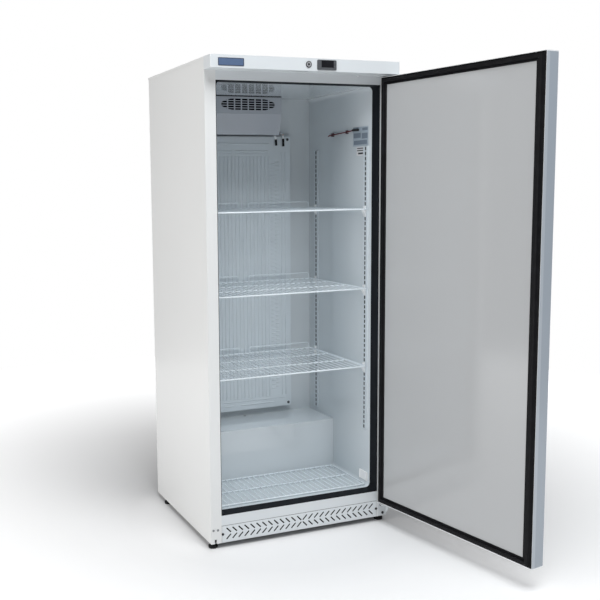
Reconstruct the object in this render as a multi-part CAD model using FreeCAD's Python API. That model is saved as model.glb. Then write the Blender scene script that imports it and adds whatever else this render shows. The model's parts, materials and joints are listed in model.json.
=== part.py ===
import FreeCAD, Part
import math
import os

from FreeCAD import Vector

# A one-door upright refrigerator, in millimetres.
# The cabinet is laid out with x = 0 at its middle, y = 0 at the body's front plane and z = 0 on the floor.
# save() then moves every shape so that the origin is the middle of the four feet.
# The door is laid out shut, and turned to its stored, open place as it is saved.

# Cabinet
LID_HALF = 390.0            # half the overall width
SIDE_FACE = 388.5           # outer face of a side panel
SHEET = 1.0                 # painted sheet steel
BODY_DEPTH = 653.0          # front plane to the lid's rear edge
HEIGHT = 1845.0
UNDERSIDE = 23.0            # height of the body's lower edge
OPENING_HALF = 345.0        # half the width between the front stiles
OPENING_LOW = 131.0
OPENING_HIGH = 1764.5
SILL_LOW = 91.0
LID_SKIRT = 8.0

# Fascia over the door
FASCIA_LOW = 1799.0
FASCIA_OUT = 66.0           # how far it stands out of the front plane
FASCIA_WALL = 2.0

# Storage space
LINER_HALF = 338.0          # inner faces of the plastic liner
LINER_WALL = 2.0
LINER_FRONT = 46.0
LINER_BACK = 574.0
LINER_FLOOR = 137.0
LINER_CEILING = 1762.0
HUMP_FRONT = 353.0          # the step over the machine space
HUMP_TOP = 353.0
CORNER_R = 18.0
PAN_Z = 81.0                # underside of the sheet below the floor foam
MACHINE_FRONT = 402.0       # front wall of the machine space
MACHINE_TOP = 303.0

# Door, laid out shut
DOOR_HALF = 388.0
DOOR_LOW = 87.0
DOOR_HIGH = 1792.0
DOOR_INNER = -10.0          # inner face
DOOR_OUTER = -64.0          # outer face
HINGE_X = 364.7
HINGE_Y = -27.7
REST_ANGLE = 98.9           # how far the stored door stands open, degrees
PIN_R = 4.0
PIN_GAP = 0.05              # running clearance on a radius
CAP = 3.0                   # thickness of a door end cap
EDGE_R = 6.0                # rounding that lets the hinge corner turn past the stile
HINGE_SCREWS = ((370.0, 37.0), (360.5, 73.5))   # x, z

# Racking
PILASTER_Y = (86.0, 503.0)
PILASTER_FACE = 333.0
PILASTER_WIDTH = 34.0
SLOT_PITCH = 20.0
FIRST_SLOT = 385.0
SLOT_COUNT = 58
SHELF_Z = (1283.0, 963.0, 643.0)
SHELF_HALF = 330.0
SHELF_FRONT = 57.0
SHELF_REAR = 538.0
RACK_Z = 144.0
RACK_FRONT = 62.0
RACK_REAR = 346.0
BORDER_R = 3.0
WIRE_R = 1.75
WIRE_PITCH = 25.0
HOOP_RISE = 27.0
HOOPS = ((-312.0, -32.0), (16.0, 312.0))

# Cooling plate and the fan housing above it
PLATE_HALF = 229.0
PLATE_LOW = 383.0
PLATE_HIGH = 1597.0
PLATE_Y = 549.0
HOUSING_HALF = 154.0
HOUSING_FRONT = 480.0
HOUSING_CREASE = 1688.0
HOUSING_LOW = 1602.0
HOUSING_FOOT_Y = 506.0
FAN_Z = 1724.0
FAN_Y = 516.0
FAN_R = 23.0
FAN_HALF = 112.0
CHANNEL_PITCH = 17.6
CHANNEL_COUNT = 24
GRILLE_PITCH_X = 31.7
GRILLE_PITCH_Z = 9.9
GRILLE_X = -2.2
GRILLE_Z = 1727.0
GRILLE_HALF = 127.0
GRILLE_RISE = 29.2

# Feet
FOOT_X = 370.0
FOOT_Y = (30.0, 558.0)
FOOT_R = 18.0
STEM_R = 5.0
ORIGIN_Y = sum(FOOT_Y) / 2

# Lock and controller in the fascia
LOCK_X = -2.0
LOCK_Z = 1822.0
LOCK_R = 9.5
CAM_REACH = 42.0
CAM_Y = -45.0
CONTROLLER = (33.0, 113.0, 1804.0, 1840.0)
BUTTONS = ((41.7, 1829.5), (41.7, 1814.5), (105.3, 1829.5), (105.3, 1814.5))
BUTTON_W = 7.0
BUTTON_H = 9.0
PLUNGER = (241.0, 1794.0)   # door switch, x and z

# Intake grille under the door
KICK_HALF = 344.0
CHEVRON_PITCH = 25.26
CHEVRON_COUNT = 26

# Machine space
COMP_X = 150.0
COMP_Y = 530.0
COND_FAN_X = -205.0
COND_FAN_Z = 150.0

# Grip, and the pocket for the lock's cam: x0, x1, y0, y1 and its floor
HANDLE_Z = (905.0, 1065.0)
HANDLE_X = (-372.0, -318.0)
HANDLE_DEEP = 26.0
KEEPER = (-13.0, 9.0, -51.0, -39.0, 1774.0)


def box(x0, x1, y0, y1, z0, z1):
    return Part.makeBox(x1 - x0, y1 - y0, z1 - z0, Vector(x0, y0, z0))


def rod(x, y, z, radius, length, along="z"):
    direction = {"x": Vector(1, 0, 0), "y": Vector(0, 1, 0), "z": Vector(0, 0, 1)}[along]
    return Part.makeCylinder(radius, length, Vector(x, y, z), direction)


def cone(x, y, z, r0, r1, length, along="z"):
    direction = {"x": Vector(1, 0, 0), "y": Vector(0, 1, 0), "z": Vector(0, 0, 1)}[along]
    return Part.makeCone(r0, r1, length, Vector(x, y, z), direction)


def tube(x, y, z, outer, inner, length, along="z"):
    return rod(x, y, z, outer, length, along).cut(rod(x, y, z, inner, length, along))


def prism(points, along, low, high):
    """A polygon drawn in the other two coordinates, in x, y, z order, and extruded."""
    place = {
        "x": lambda p: Vector(low, p[0], p[1]),
        "y": lambda p: Vector(p[0], low, p[1]),
        "z": lambda p: Vector(p[0], p[1], low),
    }[along]
    run = {"x": Vector(high - low, 0, 0), "y": Vector(0, high - low, 0), "z": Vector(0, 0, high - low)}[along]
    corners = [place(p) for p in points]
    return Part.Face(Part.makePolygon(corners + corners[:1])).extrude(run)


def joined(shapes):
    whole = shapes[0].multiFuse(shapes[1:]) if len(shapes) > 1 else shapes[0]
    return whole.removeSplitter()


def pierced(shape, tools):
    return shape.cut(Part.Compound(tools))


def mirrored(shape):
    return shape.mirror(Vector(0, 0, 0), Vector(1, 0, 0))


def both_sides(shape):
    return [shape, mirrored(shape)]


def slot(x, z, length, width, tilt, y0, y1):
    """A round-ended slot through y, turned by tilt degrees."""
    half = (length - width) / 2
    ends = [rod(x + side * half, y0, z, width / 2, y1 - y0, "y") for side in (-1, 1)]
    shape = joined([box(x - half, x + half, y0, y1, z - width / 2, z + width / 2)] + ends)
    shape.rotate(Vector(x, 0, z), Vector(0, 1, 0), -tilt)
    return shape


def pipe(points, radius):
    """A bent tube, solid, with a ball at each turn."""
    pieces = []
    for a, b in zip(points, points[1:]):
        run = Vector(*b) - Vector(*a)
        pieces.append(Part.makeCylinder(radius, run.Length, Vector(*a), run))
    pieces += [Part.makeSphere(radius, Vector(*p)) for p in points[1:-1]]
    return joined(pieces)


def rounded_along(shape, direction, radius, keep):
    """Rounds the straight edges that run along a direction and whose middle passes keep."""
    chosen = []
    for edge in shape.Edges:
        ends = edge.Vertexes
        if len(ends) != 2:
            continue
        run = ends[1].Point - ends[0].Point
        if run.Length > 0 and abs(run.normalize().dot(direction)) > 0.999 and keep(edge.CenterOfMass):
            chosen.append(edge)
    return shape.makeFillet(radius, chosen)


def save(name, shape, shut_door=False):
    placed = shape.copy()
    if shut_door:
        placed.rotate(Vector(HINGE_X, HINGE_Y, 0), Vector(0, 0, 1), REST_ANGLE)
    placed.translate(Vector(0, -ORIGIN_Y, 0))
    placed.exportStep("parts/%s.step" % name)
    print("%-24s solids %3d  volume %9.1f cm3  valid %s" % (
        name, len(placed.Solids), placed.Volume / 1000.0, placed.isValid()))


# Outer shell

def side_panel(right):
    inner = SIDE_FACE - SHEET
    panel = joined([
        box(inner, SIDE_FACE, 0, BODY_DEPTH - SHEET, UNDERSIDE, HEIGHT - SHEET),
        box(OPENING_HALF, SIDE_FACE, 0, SHEET, UNDERSIDE, HEIGHT - SHEET),
    ])
    notch = box(366, 374, -1, 2, UNDERSIDE - 1, 40)
    holes = [rod(x, -1, z, 3.0, 3, "y") for x, z in ((378.6, 77), (360.5, 76))]
    screws = [rod(x, -1, z, 2.8, 3, "y") for x, z in HINGE_SCREWS]
    return pierced(panel, screws) if right else mirrored(pierced(panel, holes + [notch]))


def top_panel():
    skirt_low = HEIGHT - LID_SKIRT
    outer = box(-LID_HALF, LID_HALF, 0, BODY_DEPTH, skirt_low, HEIGHT)
    inside = box(-LID_HALF + SHEET, LID_HALF - SHEET, -1, BODY_DEPTH - SHEET, skirt_low - 1, HEIGHT - SHEET)
    return outer.cut(inside)


def back_panel():
    half = SIDE_FACE - SHEET
    y1 = BODY_DEPTH - SHEET
    flat = box(-half, half, y1 - SHEET, y1, MACHINE_TOP, HEIGHT - SHEET)
    return flat


def rear_grille():
    y1 = BODY_DEPTH - SHEET
    plate = box(-386, 386, y1 - 1.5, y1, 27, MACHINE_TOP - 1)
    rows = [85 + 24 * i for i in range(9)]
    columns = [-300 + 100 * i for i in range(7)]
    cuts = [slot(x, z, 80, 9, 0, y1 - 3, y1 + 1) for x in columns for z in rows]
    return pierced(plate, cuts + [rod(300, y1 - 3, 52, 9, 5, "y")])


def front_rails():
    """The steel header over the opening and the sill under it."""
    header = box(-OPENING_HALF, OPENING_HALF, 0, SHEET, OPENING_HIGH, HEIGHT - SHEET)
    header = pierced(header, [rod(PLUNGER[0], -1, PLUNGER[1], 3.5, 3, "y")])
    sill = box(-OPENING_HALF, OPENING_HALF, 0, SHEET, SILL_LOW, OPENING_LOW)
    return Part.Compound([header, sill])


def insulation_foam():
    """Abutting slabs of foam between the steel and the liner."""
    outer = SIDE_FACE - SHEET
    inner = LINER_HALF + LINER_WALL
    back = BODY_DEPTH - 2 * SHEET
    top = HEIGHT - SHEET
    low = PAN_Z + SHEET
    ceiling = LINER_CEILING + LINER_WALL
    side_plan = [(outer, SHEET), (OPENING_HALF, SHEET), (inner, LINER_FRONT), (inner, MACHINE_FRONT),
                 (outer, MACHINE_FRONT)]
    side_front = prism(side_plan, "z", low, top)
    side_rear = box(inner, outer, MACHINE_FRONT, back, MACHINE_TOP, top)
    sill_back = 10.0
    floor_profile = [(sill_back, low), (sill_back, OPENING_LOW + 0.8), (LINER_FRONT, LINER_FLOOR - LINER_WALL),
                     (HUMP_FRONT + LINER_WALL, LINER_FLOOR - LINER_WALL), (HUMP_FRONT + LINER_WALL, low)]
    top_profile = [(SHEET, top), (SHEET, OPENING_HIGH + 0.1), (LINER_FRONT, ceiling), (back, ceiling),
                   (back, top)]
    floor_slab = prism(floor_profile, "x", -inner, inner)
    roof = prism(top_profile, "x", -inner, inner)
    hump_wall = box(-inner, inner, HUMP_FRONT + LINER_WALL, MACHINE_FRONT, low, HUMP_TOP - LINER_WALL)
    hump_roof = box(-inner, inner, MACHINE_FRONT, LINER_BACK + LINER_WALL, MACHINE_TOP, HUMP_TOP - LINER_WALL)
    hump_roof = pierced(hump_roof, [rod(0, 560, MACHINE_TOP - 1, 8, 60)])
    rear = box(-inner, inner, LINER_BACK + LINER_WALL, back, MACHINE_TOP, ceiling)
    roof = pierced(roof, [rod(PLUNGER[0], 0, PLUNGER[1], 9, 30, "y")])
    return Part.Compound(both_sides(side_front) + both_sides(side_rear)
                         + [floor_slab, roof, hump_wall, hump_roof, rear])


def liner_space(grow, front):
    """The storage space, with the step over the machine space taken out; grow thickens it all round."""
    rear = LINER_BACK + grow
    half = LINER_HALF + grow
    step_y = HUMP_FRONT + grow
    step_z = HUMP_TOP - grow
    profile = [(front, LINER_FLOOR - grow), (step_y, LINER_FLOOR - grow), (step_y, step_z), (rear, step_z),
               (rear, LINER_CEILING + grow), (front, LINER_CEILING + grow)]
    return prism(profile, "x", -half, half)


def inner_liner():
    cavity = liner_space(0, LINER_FRONT - 1)
    deep = Vector(0, 1, 0)
    cavity = rounded_along(cavity, deep, CORNER_R, lambda p: abs(p.x) > 300 and not 300 < p.z < 400)
    shell = liner_space(LINER_WALL, LINER_FRONT).cut(cavity)
    return pierced(shell, [rod(0, 560, 340, 8, 30)])


def breaker_strips():
    """Four plastic strips, mitred, that close the gap between the steel front and the liner."""
    def frame(half, low, high, y, radius):
        wire = box(-half, half, y, y + 1, low, high)
        if radius:
            wire = rounded_along(wire, Vector(0, 1, 0), radius, lambda p: True)
        face = min(wire.Faces, key=lambda f: f.CenterOfMass.y)
        return face.OuterWire

    outer = Part.makeLoft([frame(OPENING_HALF, OPENING_LOW, OPENING_HIGH, SHEET, 0),
                           frame(LINER_HALF + LINER_WALL, LINER_FLOOR - LINER_WALL,
                                 LINER_CEILING + LINER_WALL, LINER_FRONT, 0)], True, True)
    throat = box(-OPENING_HALF, OPENING_HALF, 0, SHEET, OPENING_LOW, OPENING_HIGH)
    inner = Part.makeLoft([frame(OPENING_HALF - 2, OPENING_LOW + 2, OPENING_HIGH - 2, 0, CORNER_R + 2),
                           frame(LINER_HALF, LINER_FLOOR, LINER_CEILING, LINER_FRONT, CORNER_R)], True, True)
    ring = joined([outer, throat]).cut(inner)
    mid_z = (OPENING_LOW + OPENING_HIGH) / 2
    rise = OPENING_HIGH + 40 - mid_z
    reach = OPENING_HALF + 40
    inset = rise - reach
    corners = {
        "right": [(0, mid_z - inset), (reach, mid_z - rise), (reach, mid_z + rise), (0, mid_z + inset)],
        "top": [(0, mid_z + inset), (reach, mid_z + rise), (-reach, mid_z + rise)],
    }
    right = prism(corners["right"], "y", -5, LINER_FRONT + 5)
    top = prism(corners["top"], "y", -5, LINER_FRONT + 5)
    low = top.mirror(Vector(0, 0, mid_z), Vector(0, 0, 1))
    wedges = both_sides(right) + [top, low]
    return Part.Compound([ring.common(wedge) for wedge in wedges])


# Base

def base_frame():
    inner = SIDE_FACE - SHEET
    rear = BODY_DEPTH - 2 * SHEET - 2
    rail = [box(350, inner, 3, rear, 24, 26.5), box(inner - 2.5, inner, 3, rear, 26.5, PAN_Z)]
    cross = [box(-350, 350, y, y + 30, 24, 26.5) for y in (3, 617)]
    plate = box(-360, 360, 430, 615, 26.5, 29)
    body = joined(rail + [mirrored(r) for r in rail] + cross + [plate])
    holes = [rod(side * FOOT_X, y, 20, STEM_R + 0.08, 20) for side in (-1, 1) for y in FOOT_Y]
    return pierced(body, holes)


def machine_lining():
    half = SIDE_FACE - SHEET
    back = BODY_DEPTH - 2 * SHEET - 1
    lining = joined([
        box(-half, half, 10, MACHINE_FRONT + SHEET, PAN_Z, PAN_Z + SHEET),
        box(-half, half, MACHINE_FRONT, MACHINE_FRONT + SHEET, PAN_Z, MACHINE_TOP),
        box(-half, half, MACHINE_FRONT, back, MACHINE_TOP - SHEET, MACHINE_TOP),
    ])
    return pierced(lining, [rod(0, 560, MACHINE_TOP - 5, 8, 10)])


def foot(x, y):
    pad = rod(x, y, 0, FOOT_R, 9)
    skirt = cone(x, y, 9, FOOT_R, 11, 5)
    nut = rod(x, y, 14, 9, 7)
    stem = rod(x, y, 14, STEM_R, 34)
    return joined([pad, skirt, nut, stem])


def kick_grille():
    high = SILL_LOW - 1.5
    plate = box(-KICK_HALF, KICK_HALF, 0, 1.5, UNDERSIDE + 0.5, high)
    ledge = box(-KICK_HALF, KICK_HALF, 1.5, 9, high - 1.5, high)
    cuts = []
    for i in range(CHEVRON_COUNT):
        x = (i - (CHEVRON_COUNT - 1) / 2) * CHEVRON_PITCH
        lean = -45 if x < 0 else 45
        cuts += [slot(x, 71, 27, 5, lean, -1, 3), slot(x, 45, 27, 5, -lean, -1, 3)]
    cuts += [rod(side * 340.5, -1, 57, 2.5, 4, "y") for side in (-1, 1)]
    return pierced(joined([plate, ledge]), cuts)


# Fascia

def fascia():
    wall = FASCIA_WALL
    half = LID_HALF
    outer = box(-half, half, -FASCIA_OUT, 0, FASCIA_LOW, HEIGHT)
    outer = rounded_along(outer, Vector(0, 0, 1), 3, lambda p: p.y < -1)
    inside = box(-half + wall, half - wall, -FASCIA_OUT + wall, 1, FASCIA_LOW + wall, HEIGHT - wall)
    shell = outer.cut(inside)
    front = -FASCIA_OUT
    x0, x1, z0, z1 = CONTROLLER
    openings = [
        rod(LOCK_X, front - 1, LOCK_Z, LOCK_R + 0.4, 5, "y"),
        box(x0 + 3, x1 - 3, front - 1, front + 4, z0 + 3, z1 - 3),
        box(LOCK_X - CAM_REACH - 2, LOCK_X + 10, CAM_Y - 5, CAM_Y + 5, FASCIA_LOW - 1, FASCIA_LOW + wall + 1),
        box(325, half + 1, -5, 1, FASCIA_LOW - 1, FASCIA_LOW + wall + 1),
    ]
    return pierced(shell, openings)


def badge_plate():
    plate = box(-361, -261, -FASCIA_OUT - 1.2, -FASCIA_OUT, 1806, 1834)
    return rounded_along(plate, Vector(0, 1, 0), 3, lambda p: True)


def controller_case():
    x0, x1, z0, z1 = CONTROLLER
    bezel = box(x0, x1, -FASCIA_OUT - 3, -FASCIA_OUT, z0, z1)
    bezel = rounded_along(bezel, Vector(0, 1, 0), 4, lambda p: True)
    body = box(x0 + 3.2, x1 - 3.2, -FASCIA_OUT, -FASCIA_OUT + 40, z0 + 3.2, z1 - 3.2)
    window = box(50, 101, -FASCIA_OUT - 4, -FASCIA_OUT - 1.5, 1813, 1838)
    wells = [box(x - BUTTON_W / 2 - 0.4, x + BUTTON_W / 2 + 0.4, -FASCIA_OUT - 4, -FASCIA_OUT + 6,
                 z - BUTTON_H / 2 - 0.4, z + BUTTON_H / 2 + 0.4) for x, z in BUTTONS]
    return pierced(joined([bezel, body]), [window] + wells)


def controller_display():
    return box(50, 101, -FASCIA_OUT - 3.4, -FASCIA_OUT - 1.5, 1813, 1838)


def controller_button(x, z):
    cap = box(x - BUTTON_W / 2, x + BUTTON_W / 2, -FASCIA_OUT - 4.2, -FASCIA_OUT + 4,
              z - BUTTON_H / 2, z + BUTTON_H / 2)
    return rounded_along(cap, Vector(0, 1, 0), 1.2, lambda p: True)


def lock_cylinder():
    head = rod(LOCK_X, -FASCIA_OUT - 3, LOCK_Z, 11.5, 2.6, "y")
    barrel = rod(LOCK_X, -FASCIA_OUT - 0.4, LOCK_Z, LOCK_R, 24, "y")
    keyway = box(LOCK_X - 0.9, LOCK_X + 0.9, -FASCIA_OUT - 4, -FASCIA_OUT + 8, LOCK_Z - 4.5, LOCK_Z + 4.5)
    blade = box(LOCK_X - CAM_REACH + 6, LOCK_X, CAM_Y - 1.5, CAM_Y + 1.5, LOCK_Z - 6, LOCK_Z + 6)
    tip = rod(LOCK_X - CAM_REACH + 6, CAM_Y - 1.5, LOCK_Z, 6, 3, "y")
    hub = rod(LOCK_X, CAM_Y - 1.5, LOCK_Z, 8, 5, "y")
    return pierced(joined([head, barrel, blade, tip, hub]), [keyway])


def door_switch_plunger():
    x, z = PLUNGER
    tip = rod(x, -8, z, 3.2, 20, "y")
    collar = rod(x, 8.4, z, 5.5, 3, "y")
    return joined([tip, collar])


def door_switch_body():
    x, z = PLUNGER
    shell = rod(x, SHEET, z, 8.8, 26, "y")
    return pierced(shell, [rod(x, 0, z, 3.5, 10, "y"), rod(x, 8, z, 5.9, 15, "y")])


# Hinges

def top_hinge_bracket():
    arm = box(330, 388, -44, 0, 1795, 1798)
    arm = rounded_along(arm, Vector(0, 0, 1), 8, lambda p: p.y < -40)
    upright = box(330, 388, -3, 0, 1798, 1836)
    return pierced(joined([arm, upright]), [rod(HINGE_X, HINGE_Y, 1790, PIN_R, 12)])


def bottom_hinge_bracket():
    upright = box(348, 388.5, -3, 0, 26, 81)
    arm = box(345, 388.5, -45, 0, 81, 84)
    arm = rounded_along(arm, Vector(0, 0, 1), 8, lambda p: p.y < -40 and p.x < 360)
    gusset = prism([(-3, 34), (-3, 81), (-43, 81)], "x", 385.5, 388.5)
    body = joined([upright, arm, gusset])
    holes = [rod(HINGE_X, HINGE_Y, 78, PIN_R, 12)]
    holes += [rod(x, -5, z, 3.2, 6, "y") for x, z in HINGE_SCREWS]
    return pierced(body, holes)


def hinge_pins():
    top = rod(HINGE_X, HINGE_Y, 1773, PIN_R, 25)
    low = joined([rod(HINGE_X, HINGE_Y, 78, PIN_R, 25), rod(HINGE_X, HINGE_Y, 79, 6.5, 2.0)])
    return Part.Compound([top, low])


def screw(x, y, z, radius, shank):
    """A pan-head screw whose head faces the front; y is the seat under the head."""
    head = rod(x, y - 1.8, z, radius, 1.8, "y")
    recess = [box(x - 2.2, x + 2.2, y - 2, y - 0.9, z - 0.5, z + 0.5),
              box(x - 0.5, x + 0.5, y - 2, y - 0.9, z - 2.2, z + 2.2)]
    return joined([pierced(head, recess), rod(x, y, z, radius * 0.45, shank, "y")])


def cabinet_screws():
    kick = [screw(side * 340.5, 0, 57, 5, 4) for side in (-1, 1)]
    hinge = [screw(x, -3, z, 5.5, 8) for x, z in HINGE_SCREWS]
    return Part.Compound(kick + hinge)


def hole_plugs():
    return Part.Compound([joined([rod(x, 0, z, 2.9, 1, "y"), rod(x, -0.8, z, 4.5, 0.8, "y")])
                          for x, z in ((-378.6, 77), (-360.5, 76))])


# Cooling plate and its fan

def evaporator_plate():
    sheet = box(-PLATE_HALF, PLATE_HALF, PLATE_Y, PLATE_Y + 1.5, PLATE_LOW, PLATE_HIGH)
    low = PLATE_LOW + 55
    high = PLATE_HIGH - 70
    ridge = [(-4, 0), (-2.5, -2.2), (2.5, -2.2), (4, 0)]
    channels = []
    for i in range(CHANNEL_COUNT):
        x = (i - (CHANNEL_COUNT - 1) / 2) * CHANNEL_PITCH
        channels.append(prism([(x + dx, PLATE_Y + dy) for dx, dy in ridge], "z", low, high))
    half = (CHANNEL_COUNT - 1) / 2 * CHANNEL_PITCH + 4
    for z in (low - 4, high + 4):
        channels.append(prism([(PLATE_Y + dy, z + dz) for dz, dy in ridge], "x", -half, half))
    holes = [rod(side * 215, PLATE_Y - 4, z, 2.6, 8, "y") for side in (-1, 1)
             for z in (PLATE_LOW + 14, PLATE_HIGH - 12)]
    return pierced(joined([sheet] + channels), holes)


def evaporator_fixings():
    solids = []
    for side in (-1, 1):
        for z in (PLATE_LOW + 14, PLATE_HIGH - 12):
            x = side * 215
            start = PLATE_Y + 1.5
            solids.append(tube(x, start, z, 7, 2.5, LINER_BACK - start, "y"))
            solids.append(joined([rod(x, PLATE_Y - 2, z, 6, 2, "y"),
                                  rod(x, PLATE_Y, z, 2.5, LINER_BACK - PLATE_Y, "y")]))
    return Part.Compound(solids)


def housing_profile(inset):
    """Side view of the fan housing, in y and z."""
    front = HOUSING_FRONT + inset
    foot = HOUSING_FOOT_Y + inset
    low = HOUSING_LOW + inset
    return [(front, LINER_CEILING), (front, HOUSING_CREASE - inset * 0.1), (foot, low), (LINER_BACK, low),
            (LINER_BACK, LINER_CEILING)]


def grille_slots():
    """Rows of slots, cut off by an ellipse."""
    y0 = HOUSING_FRONT - 1
    y1 = HOUSING_FRONT + 4
    half_x = GRILLE_PITCH_X * 0.42
    half_z = GRILLE_PITCH_Z * 0.35
    cells = []
    for row in range(-2, 3):
        z = GRILLE_Z + row * GRILLE_PITCH_Z
        for column in range(-4, 4):
            x = GRILLE_X + (column + 0.5) * GRILLE_PITCH_X
            cells.append(box(x - half_x, x + half_x, y0, y1, z - half_z, z + half_z))
    outline = Part.Ellipse(Vector(GRILLE_X, 0, GRILLE_Z), GRILLE_HALF, GRILLE_RISE).toShape()
    outline.rotate(Vector(GRILLE_X, 0, GRILLE_Z), Vector(1, 0, 0), 90)
    outline.translate(Vector(0, y0, 0))
    oval = Part.Face(Part.Wire([outline])).extrude(Vector(0, y1 - y0, 0))
    slots = [cell.common(oval) for cell in cells]
    return [shape for shape in slots if shape.Volume > 40]


def fan_housing():
    wall = 2.5
    outer = prism(housing_profile(0), "x", -HOUSING_HALF, HOUSING_HALF)
    inner_profile = [(y, z + (1 if z > LINER_CEILING - 1 else 0)) for y, z in housing_profile(wall)]
    inner_profile = [(y + (1 if y > LINER_BACK - 1 else 0), z) for y, z in inner_profile]
    inside = prism(inner_profile, "x", -HOUSING_HALF + wall, HOUSING_HALF - wall)
    intake = box(-120, 120, 540, 570, HOUSING_LOW - 1, HOUSING_LOW + wall + 1)
    return pierced(outer.cut(inside), grille_slots() + [intake])


def evaporator_fan():
    """A drum of thin blades between end discs, on a shaft along x."""
    discs = [rod(x, FAN_Y, FAN_Z, FAN_R, 2, "x") for x in (-FAN_HALF, -1, FAN_HALF - 2)]
    blades = []
    for i in range(18):
        blade = box(-FAN_HALF, FAN_HALF, FAN_Y - 0.5, FAN_Y + 0.5, FAN_Z + FAN_R - 7, FAN_Z + FAN_R - 0.5)
        blade.rotate(Vector(0, FAN_Y, FAN_Z + FAN_R - 3), Vector(1, 0, 0), 25)
        blade.rotate(Vector(0, FAN_Y, FAN_Z), Vector(1, 0, 0), i * 20)
        blades.append(blade)
    shafts = [rod(-FAN_HALF - 12, FAN_Y, FAN_Z, 2.5, 14, "x"), rod(FAN_HALF - 2, FAN_Y, FAN_Z, 2.5, 16, "x")]
    return joined(discs + blades + shafts)


def fan_motors():
    """The drum fan's motor and far bearing, and the condenser fan's motor with its bracket."""
    gap = 0.05
    case = rod(FAN_HALF + 4, FAN_Y, FAN_Z, 20, 34, "x")
    case = pierced(case, [rod(FAN_HALF, FAN_Y, FAN_Z, 2.5 + gap, 14.5, "x")])
    bearing = tube(-FAN_HALF - 14, FAN_Y, FAN_Z, 9, 2.5 + gap, 8, "x")
    bearing_foot = box(-FAN_HALF - 14, -FAN_HALF - 6, FAN_Y - 3, FAN_Y + 3, FAN_Z + 8, LINER_CEILING)
    motor_foot = box(FAN_HALF + 8, FAN_HALF + 30, FAN_Y - 6, FAN_Y + 6, FAN_Z + 18, LINER_CEILING)
    condenser = rod(COND_FAN_X, 582, COND_FAN_Z, 32, 42, "y")
    condenser = pierced(condenser, [rod(COND_FAN_X, 580, COND_FAN_Z, 3 + gap, 14.5, "y")])
    bracket = box(COND_FAN_X - 6, COND_FAN_X + 6, 600, 612, 29, COND_FAN_Z - 30)
    return Part.Compound([joined([case, motor_foot]), joined([bearing, bearing_foot]),
                          joined([condenser, bracket])])


# Racking

def pilasters():
    solids = []
    low = FIRST_SLOT - SLOT_PITCH / 2
    high = FIRST_SLOT + (SLOT_COUNT - 0.5) * SLOT_PITCH
    for y in PILASTER_Y:
        y0 = y - PILASTER_WIDTH / 2
        y1 = y + PILASTER_WIDTH / 2
        channel = box(PILASTER_FACE, LINER_HALF, y0, y1, low, high)
        hollow = box(PILASTER_FACE + 1.5, LINER_HALF + 1, y0 + 3, y1 - 3, low - 1, high + 1)
        slots = [box(PILASTER_FACE - 1, PILASTER_FACE + 2, y - 5, y + 5, z - 7, z + 7)
                 for z in (FIRST_SLOT + i * SLOT_PITCH for i in range(SLOT_COUNT))]
        solids += both_sides(pierced(channel.cut(hollow), slots))
    return Part.Compound(solids)


def shelf_clip(y, z):
    """Hooks in a slot, with a ledge under the shelf's rim and a horn over it."""
    face = PILASTER_FACE
    ledge = prism([(face, z - 3.4), (face - 12, z - 3.4), (face - 12, z - 7), (face, z - 31)], "y", y - 8, y + 8)
    web = box(face - 2, face, y - 5, y + 5, z - 4, z + 13)
    horn = box(face - 7, face, y - 5, y + 5, z + 4, z + 13)
    hook = box(face - 1, face + 3.5, y - 4, y + 4, z - 23, z - 13)
    return joined([ledge, web, horn, hook])


def shelf_clips():
    solids = []
    for z in SHELF_Z:
        for y in PILASTER_Y:
            solids += both_sides(shelf_clip(y, z))
    return Part.Compound(solids)


def rack_stop():
    """An upright stop that keeps the floor rack off the wall."""
    low = LINER_FLOOR + CORNER_R
    plate = box(LINER_HALF - 2.5, LINER_HALF, 64, 120, low, 192)
    ears = [box(LINER_HALF - 6, LINER_HALF - 2.5, y, y + 3, low, 192) for y in (64, 117)]
    return joined([plate] + ears)


def wire_grid(front, rear, z, cross):
    """A rim, wires from front to back resting on it, and cross wires under them."""
    edge = SHELF_HALF - BORDER_R
    f = front + BORDER_R
    r = rear - BORDER_R
    corners = [(-edge, f), (edge, f), (edge, r), (-edge, r)]
    rim = []
    for (x0, y0), (x1, y1) in zip(corners, corners[1:] + corners[:1]):
        start = Vector(x0, y0, z)
        run = Vector(x1 - x0, y1 - y0, 0)
        rim.append(Part.makeCylinder(BORDER_R, run.Length, start, run))
        rim.append(Part.makeSphere(BORDER_R, start))
    count = int(2 * (edge - 1) / WIRE_PITCH)
    wires = []
    for i in range(count):
        x = (i - (count - 1) / 2) * WIRE_PITCH
        wires.append(rod(x, f, z + 1.5, WIRE_R, r - f, "y"))
    bars = [rod(-edge, y, z - 0.3, BORDER_R - 0.6, 2 * edge, "x") for y in cross]
    return rim + wires + bars


def shelf(z):
    cross = (SHELF_FRONT + 160, SHELF_FRONT + 320)
    grid = joined(wire_grid(SHELF_FRONT, SHELF_REAR, z, cross))
    y = SHELF_REAR - BORDER_R
    foot = z + BORDER_R
    hoops = []
    for x0, x1 in HOOPS:
        path = [(x0, y, foot), (x0, y, z + HOOP_RISE - 6), (x0 + 6, y, z + HOOP_RISE),
                (x1 - 6, y, z + HOOP_RISE), (x1, y, z + HOOP_RISE - 6), (x1, y, foot)]
        hoops.append(pipe(path, 2.2))
    return Part.Compound([grid] + hoops)


def floor_rack():
    grid = wire_grid(RACK_FRONT, RACK_REAR, RACK_Z, (RACK_FRONT + 142,))
    feet = [rod(x, y, LINER_FLOOR + 0.4, BORDER_R - 0.5, RACK_Z - LINER_FLOOR - 1, "z")
            for x in (-287.5, 287.5) for y in (RACK_FRONT + BORDER_R, RACK_REAR - BORDER_R)]
    return joined(grid + feet)


# Probe

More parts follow.
